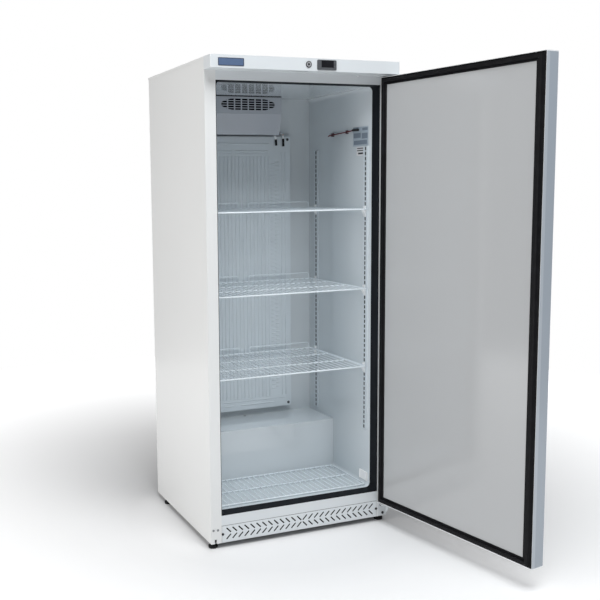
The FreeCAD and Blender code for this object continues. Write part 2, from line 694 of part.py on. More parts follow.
def temperature_probe():
    x = LINER_HALF - 4.7
    lead = pipe([(LINER_HALF - 2.4, 392, 1590), (x, 384, 1592.5), (x, 300, 1596.5), (x, 230, 1599),
                 (x, 186, 1602.5)], 2.2)
    bulb = rod(x, 142, 1603, 4.5, 44, "y")
    bulb.rotate(Vector(x, 186, 1603), Vector(1, 0, 0), 1.5)
    return joined([lead, bulb])


def wall_clips():
    """The probe's two clips, and the floor rack's stops."""
    clips = []
    for y, z in ((352, 1594.0), (232, 1598.9)):
        strap = box(LINER_HALF - 9, LINER_HALF, y - 5, y + 5, z - 7, z + 7)
        clips.append(pierced(strap, [box(LINER_HALF - 7.5, LINER_HALF + 1, y - 6, y + 6, z - 3.4, z + 3.4)]))
    return Part.Compound(clips + both_sides(rack_stop()))


# Machine space

def compressor():
    plan = rod(COMP_X, COMP_Y, 70, 76, 90)
    upper = Part.makeSphere(76, Vector(COMP_X, COMP_Y, 160)).common(box(0, 400, 400, 700, 160, 221))
    lower = Part.makeSphere(76, Vector(COMP_X, COMP_Y, 70)).common(box(0, 400, 400, 700, 42, 70))
    seam = rod(COMP_X, COMP_Y, 112, 79, 5)
    plate = box(COMP_X - 100, COMP_X + 100, COMP_Y - 70, COMP_Y + 70, 41, 44)
    terminal_box = box(COMP_X + 79, COMP_X + 118, COMP_Y - 30, COMP_Y + 30, 95, 165)
    return Part.Compound([joined([plan, upper, lower, seam, plate]), terminal_box])


def compressor_mounts():
    spots = [(COMP_X + sx * 86, COMP_Y + sy * 56) for sx in (-1, 1) for sy in (-1, 1)]
    return Part.Compound([rod(x, y, 29, 11, 12) for x, y in spots])


def condenser():
    x0, x1 = -320.0, -90.0
    fins = [box(x0 + i * 10, x0 + i * 10 + 1, 455, 505, 32, 268) for i in range(24)]
    tubes = [rod(x0 - 6, y, z, 4, x1 - x0 + 12, "x") for y in (467, 493) for z in range(48, 264, 34)]
    ends = [box(x - 1.5, x + 1.5, 455, 505, 29, 270) for x in (x0 - 4, x1 + 4)]
    return joined(fins + tubes + ends)


def condenser_fan_shroud():
    plate = box(-322, -88, 508, 510, 29, 270)
    ring = tube(COND_FAN_X, 510, COND_FAN_Z, 94, 91, 30, "y")
    return pierced(joined([plate, ring]), [rod(COND_FAN_X, 500, COND_FAN_Z, 91, 20, "y")])


def condenser_fan():
    hub = rod(COND_FAN_X, 520, COND_FAN_Z, 24, 26, "y")
    shaft = rod(COND_FAN_X, 546, COND_FAN_Z, 3, 48, "y")
    blades = []
    for i in range(5):
        blade = box(COND_FAN_X - 26, COND_FAN_X + 26, 532, 534, COND_FAN_Z + 18, COND_FAN_Z + 87)
        blade.rotate(Vector(COND_FAN_X, 533, COND_FAN_Z), Vector(0, 0, 1), 24)
        blade.rotate(Vector(COND_FAN_X, 533, COND_FAN_Z), Vector(0, 1, 0), i * 72)
        blades.append(blade)
    return joined([hub, shaft] + blades)


def drip_tray():
    """The pan on the compressor that dries off the melt water, and the pipe that feeds it."""
    outer = box(-40, 240, 470, 600, 221, 258)
    pan = outer.cut(box(-38, 238, 472, 598, 223, 259))
    return Part.Compound([pan, tube(0, 560, 262, 8, 6, HUMP_TOP - 1 - 262)])


def refrigerant_lines():
    top = MACHINE_TOP - SHEET
    runs = [
        ([(COMP_X - 72, COMP_Y - 30, 150), (20, 490, 150), (20, 467, 60), (20, 467, 48), (-84, 467, 48)], 3.0),
        ([(COMP_X - 78, COMP_Y + 24, 128), (40, 575, 128), (40, 615, 168), (40, 615, top)], 4.0),
        ([(-84, 493, 252), (-60, 493, 252), (-60, 493, 200)], 3.0),
        ([(-60, 493, 90), (-60, 493, 75), (-20, 607, 75), (-20, 607, top)], 2.0),
    ]
    inside = [
        ([(150, 541, HOUSING_LOW - 2), (155, 541, 1588), (157, 541, 1562)], 3.6),
        ([(188, LINER_BACK - 1.5, 1614), (190, 541, 1604), (192, 541, 1559)], 3.6),
    ]
    drier = joined([rod(-60, 493, 105, 11, 80), cone(-60, 493, 90, 3, 11, 15), cone(-60, 493, 185, 11, 3, 15)])
    return Part.Compound([pipe(points, radius) for points, radius in runs + inside] + [drier])


def cord_inlet():
    y1 = BODY_DEPTH - SHEET
    collar = tube(300, y1, 52, 14, 6, 1.0, "y")
    body = tube(300, y1 - 12, 52, 8.9, 6, 12, "y")
    nut = tube(300, y1 - 8, 52, 13, 8.9, 5, "y")
    return joined([collar, body, nut])


# Door, drawn shut

def door_edge(shape):
    return rounded_along(shape, Vector(0, 0, 1), EDGE_R, lambda p: p.y > DOOR_INNER - 1 and p.x > 380)


def handle_cut(extra):
    return box(HANDLE_X[0] + extra, HANDLE_X[1] - extra, DOOR_OUTER - 1, DOOR_OUTER + HANDLE_DEEP,
               HANDLE_Z[0] + extra, HANDLE_Z[1] - extra)


def door_skin():
    low = DOOR_LOW + CAP
    high = DOOR_HIGH - CAP
    outer = door_edge(box(-DOOR_HALF, DOOR_HALF, DOOR_OUTER, DOOR_INNER, low, high))
    inside = box(-DOOR_HALF + SHEET, DOOR_HALF - SHEET, DOOR_OUTER + SHEET, DOOR_INNER - SHEET, low - 1, high + 1)
    inside = rounded_along(inside, Vector(0, 0, 1), EDGE_R - SHEET, lambda p: p.y > DOOR_INNER - 3 and p.x > 380)
    mouth = box(-374, 374, DOOR_INNER - 3, DOOR_INNER + 1, low - 1, high + 1)
    return pierced(outer.cut(inside), [mouth, handle_cut(0)])


def door_liner():
    return box(-374, 374, DOOR_INNER - 2, DOOR_INNER, DOOR_LOW + CAP, DOOR_HIGH - CAP)


def door_foam():
    """Slabs that leave room for the grip, the lock's keeper and the hinge bushes."""
    x0 = -DOOR_HALF + SHEET
    x1 = DOOR_HALF - SHEET
    y0 = DOOR_OUTER + SHEET
    y1 = DOOR_INNER - 2
    low = DOOR_LOW + CAP
    high = DOOR_HIGH - CAP
    shelf_z = KEEPER[4]
    hx0, hx1 = HANDLE_X
    hz0, hz1 = HANDLE_Z
    slabs = [
        box(x0, hx0, y0, y1, low, shelf_z),
        box(hx0, hx1, y0, y1, low, hz0),
        box(hx0, hx1, y0, y1, hz1, shelf_z),
        box(hx0, hx1, DOOR_OUTER + HANDLE_DEEP, y1, hz0, hz1),
        box(hx1, 340, y0, y1, low, shelf_z),
        box(x0, KEEPER[0] - 1, y0, y1, shelf_z, high),
        box(KEEPER[1] + 1, 340, y0, y1, shelf_z, high),
        box(KEEPER[0] - 1, KEEPER[1] + 1, KEEPER[3] + 1, y1, shelf_z, high),
        box(KEEPER[0] - 1, KEEPER[1] + 1, y0, KEEPER[2] - 1, shelf_z, high),
    ]
    hinge_side = box(340, x1, y0, y1, low, high)
    hinge_side = rounded_along(hinge_side, Vector(0, 0, 1), EDGE_R, lambda p: p.y > y1 - 1 and p.x > 380)
    bores = [rod(HINGE_X, HINGE_Y, low - 1, 8, 18), rod(HINGE_X, HINGE_Y, high - 20, 8, 21)]
    return Part.Compound(slabs + [pierced(hinge_side, bores)])


def door_gasket():
    """A flat flange with a hollow-looking bulb, as four strips."""
    back = DOOR_INNER
    face = DOOR_INNER + 3
    nose = -0.4

    def strips(x0, x1, z0, z1, width, y0, y1):
        return [box(x0, x0 + width[0], y0, y1, z0, z1), box(x1 - width[1], x1, y0, y1, z0, z1),
                box(x0 + width[0], x1 - width[1], y0, y1, z1 - width[2], z1),
                box(x0 + width[0], x1 - width[1], y0, y1, z0, z0 + width[3])]

    flange = strips(-386, 382, 91, 1790, (36, 30, 28, 27), back, face)
    bulb = strips(-366, 366, 100, 1782, (14, 14, 14, 14), face, nose)
    return Part.Compound([joined([a, b]) for a, b in zip(flange, bulb)])


def door_end_caps():
    caps = []
    for z0, z1 in ((DOOR_LOW, DOOR_LOW + CAP), (DOOR_HIGH - CAP, DOOR_HIGH)):
        cap = door_edge(box(-DOOR_HALF, DOOR_HALF, DOOR_OUTER, DOOR_INNER, z0, z1))
        caps.append(pierced(cap, [rod(HINGE_X, HINGE_Y, z0 - 1, 8, CAP + 2)]))
    x0, x1, y0, y1, z0 = KEEPER
    well = box(x0 - 1, x1 + 1, y0 - 1, y1 + 1, z0, DOOR_HIGH - CAP)
    top = joined([caps[1], well]).cut(box(x0, x1, y0, y1, z0 + 1, DOOR_HIGH + 1))
    return Part.Compound([caps[0], top])


def door_hinge_bushes():
    low = joined([tube(HINGE_X, HINGE_Y, DOOR_LOW, 8, PIN_R + PIN_GAP, 18),
                  tube(HINGE_X, HINGE_Y, 84.35, 11, PIN_R + PIN_GAP, DOOR_LOW - 84.35)])
    top = tube(HINGE_X, HINGE_Y, DOOR_HIGH - 22, 8, PIN_R + PIN_GAP, 22)
    return Part.Compound([low, top])


def door_handle():
    """A moulded cup let into the door, with a grip lip over its free edge."""
    flange = box(HANDLE_X[0] - 6, HANDLE_X[1] + 6, DOOR_OUTER - 1.6, DOOR_OUTER, HANDLE_Z[0] - 6, HANDLE_Z[1] + 6)
    flange = rounded_along(flange, Vector(0, 1, 0), 8, lambda p: True)
    cup = joined([flange, handle_cut(0).common(box(-400, 0, DOOR_OUTER, 0, 0, 2000))])
    hollow = box(HANDLE_X[0] + 14, HANDLE_X[1] - 2, DOOR_OUTER - 3, DOOR_OUTER + HANDLE_DEEP - 2,
                 HANDLE_Z[0] + 2, HANDLE_Z[1] - 2)
    under = box(HANDLE_X[0] + 2, HANDLE_X[0] + 15, DOOR_OUTER + 8, DOOR_OUTER + HANDLE_DEEP - 2,
                HANDLE_Z[0] + 2, HANDLE_Z[1] - 2)
    return pierced(cup, [hollow, under])


os.makedirs("parts", exist_ok=True)

fixed_parts = {
    "side_panel_left": side_panel(False),
    "side_panel_right": side_panel(True),
    "top_panel": top_panel(),
    "back_panel": back_panel(),
    "rear_grille": rear_grille(),
    "front_rails": front_rails(),
    "insulation_foam": insulation_foam(),
    "inner_liner": inner_liner(),
    "breaker_strips": breaker_strips(),
    "base_frame": base_frame(),
    "machine_lining": machine_lining(),
    "kick_grille": kick_grille(),
    "fascia": fascia(),
    "badge_plate": badge_plate(),
    "controller_case": controller_case(),
    "controller_display": controller_display(),
    "lock_cylinder": lock_cylinder(),
    "door_switch_body": door_switch_body(),
    "door_switch_plunger": door_switch_plunger(),
    "top_hinge_bracket": top_hinge_bracket(),
    "bottom_hinge_bracket": bottom_hinge_bracket(),
    "hinge_pins": hinge_pins(),
    "cabinet_screws": cabinet_screws(),
    "hole_plugs": hole_plugs(),
    "evaporator_plate": evaporator_plate(),
    "evaporator_fixings": evaporator_fixings(),
    "fan_housing": fan_housing(),
    "evaporator_fan": evaporator_fan(),
    "fan_motors": fan_motors(),
    "pilasters": pilasters(),
    "shelf_clips": shelf_clips(),
    "temperature_probe": temperature_probe(),
    "wall_clips": wall_clips(),
    "compressor": compressor(),
    "compressor_mounts": compressor_mounts(),
    "condenser": condenser(),
    "condenser_fan_shroud": condenser_fan_shroud(),
    "condenser_fan": condenser_fan(),
    "drip_tray": drip_tray(),
    "refrigerant_lines": refrigerant_lines(),
    "cord_inlet": cord_inlet(),
    "floor_rack": floor_rack(),
}
door_parts = {
    "door_skin": door_skin(),
    "door_liner": door_liner(),
    "door_foam": door_foam(),
    "door_gasket": door_gasket(),
    "door_end_caps": door_end_caps(),
    "door_hinge_bushes": door_hinge_bushes(),
    "door_handle": door_handle(),
}
for name, shape in fixed_parts.items():
    save(name, shape)
for name, shape in door_parts.items():
    save(name, shape, shut_door=True)
for number, (x, z) in enumerate(BUTTONS, 1):
    save("controller_button_%d" % number, controller_button(x, z))
for number, z in enumerate(SHELF_Z, 1):
    save("shelf_%d" % number, shelf(z))
for name, x, y in (("front_left", -FOOT_X, FOOT_Y[0]), ("front_right", FOOT_X, FOOT_Y[0]),
                   ("rear_left", -FOOT_X, FOOT_Y[1]), ("rear_right", FOOT_X, FOOT_Y[1])):
    save("foot_" + name, foot(x, y))
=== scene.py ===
import bpy
import bmesh
import json
import math
from mathutils import Matrix, Vector

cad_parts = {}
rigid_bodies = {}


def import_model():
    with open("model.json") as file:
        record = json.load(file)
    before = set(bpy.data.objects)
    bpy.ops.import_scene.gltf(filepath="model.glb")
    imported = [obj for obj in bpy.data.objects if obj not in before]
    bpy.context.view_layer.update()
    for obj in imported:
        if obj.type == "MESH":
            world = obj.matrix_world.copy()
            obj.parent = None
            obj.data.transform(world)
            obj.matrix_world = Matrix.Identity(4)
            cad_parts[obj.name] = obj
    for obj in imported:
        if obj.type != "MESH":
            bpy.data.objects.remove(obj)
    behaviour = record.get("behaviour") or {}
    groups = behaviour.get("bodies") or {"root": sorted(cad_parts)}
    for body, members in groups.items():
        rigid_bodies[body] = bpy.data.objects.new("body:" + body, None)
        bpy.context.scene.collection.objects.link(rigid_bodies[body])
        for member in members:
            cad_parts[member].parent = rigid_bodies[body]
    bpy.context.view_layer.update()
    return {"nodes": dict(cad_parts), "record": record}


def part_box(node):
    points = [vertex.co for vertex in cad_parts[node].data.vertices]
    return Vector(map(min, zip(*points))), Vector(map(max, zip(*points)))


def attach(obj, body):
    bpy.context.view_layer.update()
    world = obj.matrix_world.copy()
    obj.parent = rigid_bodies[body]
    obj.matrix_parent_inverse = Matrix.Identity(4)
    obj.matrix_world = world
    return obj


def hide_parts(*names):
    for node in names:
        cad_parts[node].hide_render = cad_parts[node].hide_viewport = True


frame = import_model()
mm = 0.001
originY = 294.0  # the body's front plane lies this far in front of the origin, mm
swing = next(j for j in frame["record"]["behaviour"]["joints"] if j["name"] == "door_swing")
hinge = Vector(swing["pos_m"])
openAngle = math.radians(-swing["range_deg"][0])
print("frame loaded:", len(frame["nodes"]), "nodes")


def cabinetPoint(x, y, z):
    return Vector((x * mm, (y - originY) * mm, z * mm))


def doorPoint(x, y, z):
    shut = cabinetPoint(x, y, z)
    turned = Matrix.Rotation(openAngle, 3, "Z") @ (shut - hinge)
    return turned + hinge


# Shader building

class Value:
    # a socket that takes part in ordinary sums
    def __init__(self, shader, socket):
        self.shader = shader
        self.socket = socket

    def sum(self, operation, first, second=None):
        values = {0: first} if second is None else {0: first, 1: second}
        return self.shader.add("ShaderNodeMath", {"operation": operation}, values).out("Value")

    def __add__(self, other):
        return self.sum("ADD", self, other)

    def __radd__(self, other):
        return self.sum("ADD", other, self)

    def __sub__(self, other):
        return self.sum("SUBTRACT", self, other)

    def __rsub__(self, other):
        return self.sum("SUBTRACT", other, self)

    def __mul__(self, other):
        return self.sum("MULTIPLY", self, other)

    def __rmul__(self, other):
        return self.sum("MULTIPLY", other, self)

    def __truediv__(self, other):
        return self.sum("DIVIDE", self, other)

    def above(self, limit):
        return self.sum("GREATER_THAN", self, limit)

    def size(self):
        return self.sum("ABSOLUTE", self)

    def clipped(self):
        return self.shader.add("ShaderNodeClamp", {}, {"Value": self}).out("Result")


class Node:
    def __init__(self, shader, node):
        self.shader = shader
        self.node = node

    def out(self, name):
        return Value(self.shader, self.node.outputs[name])


class Shader:
    def __init__(self, name):
        self.material = bpy.data.materials.new(name)
        self.material.use_nodes = True
        self.tree = self.material.node_tree
        self.tree.nodes.clear()

    def add(self, kind, settings=None, values=None):
        node = self.tree.nodes.new(kind)
        for key, setting in (settings or {}).items():
            if key == "stops":
                while len(node.color_ramp.elements) < len(setting):
                    node.color_ramp.elements.new(0.5)
                for element, (position, colour) in zip(node.color_ramp.elements, setting):
                    element.position = position
                    element.color = (*colour, 1.0)
            else:
                setattr(node, key, setting)
        for key, value in (values or {}).items():
            if isinstance(value, Value):
                self.tree.links.new(value.socket, node.inputs[key])
            else:
                node.inputs[key].default_value = value
        return Node(self, node)

    def place(self, stretch=(1.0, 1.0, 1.0)):
        coords = self.add("ShaderNodeTexCoord").out("Object")
        if stretch == (1.0, 1.0, 1.0):
            return coords
        return self.add("ShaderNodeMapping", {}, {"Vector": coords, "Scale": stretch}).out("Vector")

    def noise(self, place, size, detail=2.0, rough=0.5):
        # size is the width of a feature in metres
        return self.add("ShaderNodeTexNoise", {}, {
            "Vector": place, "Scale": 1.0 / size, "Detail": detail, "Roughness": rough}).out("Fac")

    def ramp(self, factor, stops):
        node = self.add("ShaderNodeValToRGB", {"stops": stops}, {"Fac": factor})
        node.node.color_ramp.interpolation = "EASE"
        return node.out("Color")

    def blend(self, factor, low, high):
        # sockets 6 and 7 are the node's two colours
        ends = [c if isinstance(c, Value) else (*c, 1.0) for c in (low, high)]
        node = self.add("ShaderNodeMix", {"data_type": "RGBA"}, {0: factor, 6: ends[0], 7: ends[1]})
        return Value(self, node.node.outputs[2])

    def bump(self, height, distance):
        return self.add("ShaderNodeBump", {}, {
            "Height": height, "Distance": distance, "Strength": 1.0}).out("Normal")

    def vector(self, operation, first, second=None, out="Vector"):
        values = {0: first} if second is None else {0: first, 1: second}
        return self.add("ShaderNodeVectorMath", {"operation": operation}, values).out(out)

    def split(self, place, axis):
        return self.add("ShaderNodeSeparateXYZ", {}, {"Vector": place}).out(axis)

    def finish(self, values):
        surface = self.add("ShaderNodeBsdfPrincipled", {}, values)
        self.add("ShaderNodeOutputMaterial", {}, {"Surface": surface.out("BSDF")})
        return self.material


def paintedSheet(name, look):
    # powder coat: a fine orange peel, faint cloudiness and handling marks
    shader = Shader(name)
    place = shader.place()
    cloud = shader.noise(place, look["cloud"], 3.0)
    marks = shader.noise(shader.place((1.0, 1.0, 0.25)), 0.06, 5.0, 0.7)
    base = look["colour"]
    dull = tuple(c * look["shade"] for c in base)
    colour = shader.blend(cloud, base, dull)
    peel = shader.noise(place, look["peel"], 1.0)
    return shader.finish({
        "Base Color": colour, "Roughness": look["rough"] + marks * 0.10,
        "Normal": shader.bump(peel, look["depth"]), "Coat Weight": look["coat"], "Coat Roughness": 0.12})


def mouldedPlastic(name, look):
    # fine grain over slow waves, with the tone drifting a little
    shader = Shader(name)
    place = shader.place()
    drift = shader.noise(place, look["drift"], 2.0)
    base = look["colour"]
    colour = shader.blend(drift, base, tuple(c * look["shade"] for c in base))
    grain = shader.noise(place, look["grain"], 3.0, 0.6)
    wave = shader.noise(place, look["wave"], 1.0)
    height = grain * look["grainDepth"] + wave * look["waveDepth"]
    return shader.finish({
        "Base Color": colour, "Roughness": look["rough"] + grain * look["roughSpread"],
        "Normal": shader.bump(height, 1.0), "Coat Weight": look["coat"], "Coat Roughness": 0.08,
        "Specular IOR Level": look.get("gloss", 0.5)})


def softRubber(name, look):
    shader = Shader(name)
    place = shader.place()
    dust = shader.noise(place, 0.03, 4.0, 0.65)
    colour = shader.ramp(dust, [(0.35, look["colour"]), (0.8, look["bloom"])])
    skin = shader.noise(place, 0.0012, 2.0)
    return shader.finish({
        "Base Color": colour, "Roughness": look["rough"] + dust * 0.12, "Normal": shader.bump(skin, 0.00012),
        "Specular IOR Level": look["gloss"]})


def platedSteel(name, look):
    # zinc or chrome, drawn out along one direction
    shader = Shader(name)
    grain = shader.noise(shader.place(look["stretch"]), look["grain"], 3.0, 0.6)
    stain = shader.noise(shader.place(), 0.03, 3.0)
    base = look["colour"]
    colour = shader.blend(stain, base, tuple(c * look["shade"] for c in base))
    return shader.finish({
        "Base Color": colour, "Metallic": 1.0, "Roughness": look["rough"] + grain * look["roughSpread"],
        "Normal": shader.bump(grain, look["depth"])})


def galvanisedSheet(name, look):
    # hot-dip spangle
    shader = Shader(name)
    place = shader.place()
    spangle = shader.add("ShaderNodeTexVoronoi", {"feature": "F1"}, {
        "Vector": place, "Scale": 1.0 / look["spangle"], "Randomness": 1.0})
    tone = shader.add("ShaderNodeSeparateColor", {}, {"Color": spangle.out("Color")}).out("Red")
    colour = shader.blend(tone, look["light"], look["dark"])
    fine = shader.noise(place, 0.002, 2.0)
    return shader.finish({
        "Base Color": colour, "Metallic": 0.9, "Roughness": 0.34 + tone * 0.2,
        "Normal": shader.bump(fine, 0.00005)})


def foamBlock(name, look):
    shader = Shader(name)
    place = shader.place()
    cells = shader.add("ShaderNodeTexVoronoi", {"feature": "F1"}, {
        "Vector": place, "Scale": 1.0 / 0.0015}).out("Distance")
    age = shader.noise(place, 0.15, 3.0)
    colour = shader.blend(age, look["fresh"], look["aged"])
    return shader.finish({
        "Base Color": colour, "Roughness": 0.85 + cells * 0.1, "Normal": shader.bump(cells, 0.0004)})


def copperTube(name, look):
    shader = Shader(name)
    place = shader.place()
    age = shader.noise(place, 0.025, 4.0, 0.6)
    tarnish = shader.ramp(age, [(0.35, look["bright"]), (0.75, look["dull"])])
    draw = shader.noise(place, 0.0015, 2.0)
    return shader.finish({
        "Base Color": tarnish, "Metallic": 0.95, "Roughness": 0.28 + draw * 0.2,
        "Normal": shader.bump(draw, 0.00004)})


def smokedWindow(name, look):
    shader = Shader(name)
    haze = shader.noise(shader.place(), 0.02, 3.0)
    colour = shader.blend(haze, look["colour"], look["sheen"])
    return shader.finish({"Base Color": colour, "Roughness": 0.12 + haze * 0.1, "Specular IOR Level": 0.08})


def blankLabel(name, look):
    # printed film with plain blocks of tone and no wording
    shader = Shader(name)
    place = shader.place()
    y = shader.split(place, "Y")
    z = shader.split(place, "Z")
    ink = shader.noise(place, 0.004, 2.0)
    colour = shader.blend(ink * 0.25, look["ground"], look["ink"])
    for y0, y1, z0, z1 in look["blocks"]:
        inside = y.above(y0) * (1 - y.above(y1)) * z.above(z0) * (1 - z.above(z1))
        colour = shader.blend(inside, colour, look["ink"])
    fibre = shader.noise(place, 0.001, 2.0)
    return shader.finish({"Base Color": colour, "Roughness": 0.45 + ink * 0.1,
                          "Normal": shader.bump(fibre, 0.00002)})


def badgeEnamel(name, look):
    # a plain blue field inside a darker rim
    shader = Shader(name)
    place = shader.place()
    across = (shader.split(place, "X") - look["middle"][0]).size()
    up = (shader.split(place, "Z") - look["middle"][1]).size()
    rim = (across.above(look["field"][0]) + up.above(look["field"][1])).clipped()
    cloud = shader.noise(place, 0.01, 3.0)
    field = shader.blend(cloud, look["colour"], look["deep"])
    colour = shader.blend(rim, field, look["rim"])
    return shader.finish({"Base Color": colour, "Roughness": 0.3 + cloud * 0.1 + rim * 0.1,
                          "Normal": shader.bump(1 - rim, 0.0004), "Coat Weight": 0.3})


def doorAxis(shader, place, axis, offset):
    # distance along one of the door's own directions, in metres, as drawn shut
    turned = Matrix.Rotation(openAngle, 3, "Z") @ Vector(axis)
    return shader.vector("DOT_PRODUCT", place, tuple(turned), "Value") + (offset - hinge.dot(turned))


def doorCoat(name, look):
    # the front's coat, with a duller finish and painted shade on the free side's edge
    shader = Shader(name)
    place = shader.place()
    across = doorAxis(shader, place, (1, 0, 0), hinge.x)
    deep = doorAxis(shader, place, (0, 1, 0), hinge.y + originY * mm)
    cloud = shader.noise(place, 0.35, 3.0)
    colour = shader.blend(cloud, look["colour"], tuple(c * 0.98 for c in look["colour"]))
    # painted shade: the free edge is coloured in two darker grey-blue tones, split along the door's depth
    edge = 1 - across.above(-look["edgeStart"] * mm)
    film = shader.blend(deep.above(look["split"] * mm), look["film"], look["edgeShadeLight"])
    drawn = shader.noise(shader.place((1, 1, 0.05)), 0.004, 2.0)
    colour = shader.blend(edge, colour, film)
    peel = shader.noise(place, 0.002, 1.0)
    return shader.finish({"Base Color": colour, "Roughness": 0.28 + edge * 0.12 + drawn * 0.08,
                          "Normal": shader.bump(peel, 0.00003), "Coat Weight": 0.2, "Coat Roughness": 0.12})


def grilleCoat(name, look):
    # painted face; the slot walls and everything behind the face are near-black, painted shade inside the
    # slots
    shader = Shader(name)
    place = shader.place()
    # painted shade: points more than the skin behind the front face take the near-black edge colour
    slotWallShade = shader.split(place, "Y").above(look["face"] + look["skin"])
    cloud = shader.noise(place, 0.35, 3.0)
    paint = shader.blend(cloud, look["colour"], tuple(c * 0.98 for c in look["colour"]))
    colour = shader.blend(slotWallShade, paint, look["edge"])
    peel = shader.noise(place, 0.002, 1.0)
    return shader.finish({"Base Color": colour, "Roughness": 0.28 + slotWallShade * 0.4 + peel * 0.05,
                          "Normal": shader.bump(peel, 0.00003)})


def probeLead(name, look):
    # red lead, black bulb
    shader = Shader(name)
    place = shader.place()
    lead = shader.split(place, "Y").above(look["bulbEnd"])
    worn = shader.noise(place, 0.01, 3.0)
    red = shader.blend(worn, look["red"], look["deepRed"])
    colour = shader.blend(lead, look["black"], red)
    return shader.finish({"Base Color": colour, "Roughness": 0.4 + worn * 0.15,
                          "Normal": shader.bump(worn, 0.0001)})


def lockMetal(name, look):
    # a bright ring between a dark core and a dark rim
    shader = Shader(name)
    place = shader.place()
    off = shader.vector("SUBTRACT", place, look["middle"])
    flat = shader.vector("MULTIPLY", off, (1.0, 0.0, 1.0))
    reach = shader.vector("LENGTH", flat, out="Value")
    collar = reach.above(look["core"]) * (1 - reach.above(look["rim"]))
    wear = shader.noise(place, 0.002, 3.0)
    colour = shader.blend(collar, look["dark"], look["bright"])
    return shader.finish({"Base Color": colour, "Metallic": 0.6, "Roughness": 0.3 + wear * 0.15,
                          "Normal": shader.bump(wear, 0.00002)})


def clipPlastic(name, look):
    # dark probe clips above, white rack stops below
    shader = Shader(name)
    place = shader.place()
    grain = shader.noise(place, 0.001, 2.0)
    above = shader.split(place, "Z").above(look["change"])
    colour = shader.blend(above, look["white"], look["dark"])
    return shader.finish({"Base Color": colour, "Roughness": 0.32 + grain * 0.12,
                          "Normal": shader.bump(grain, 0.00003)})


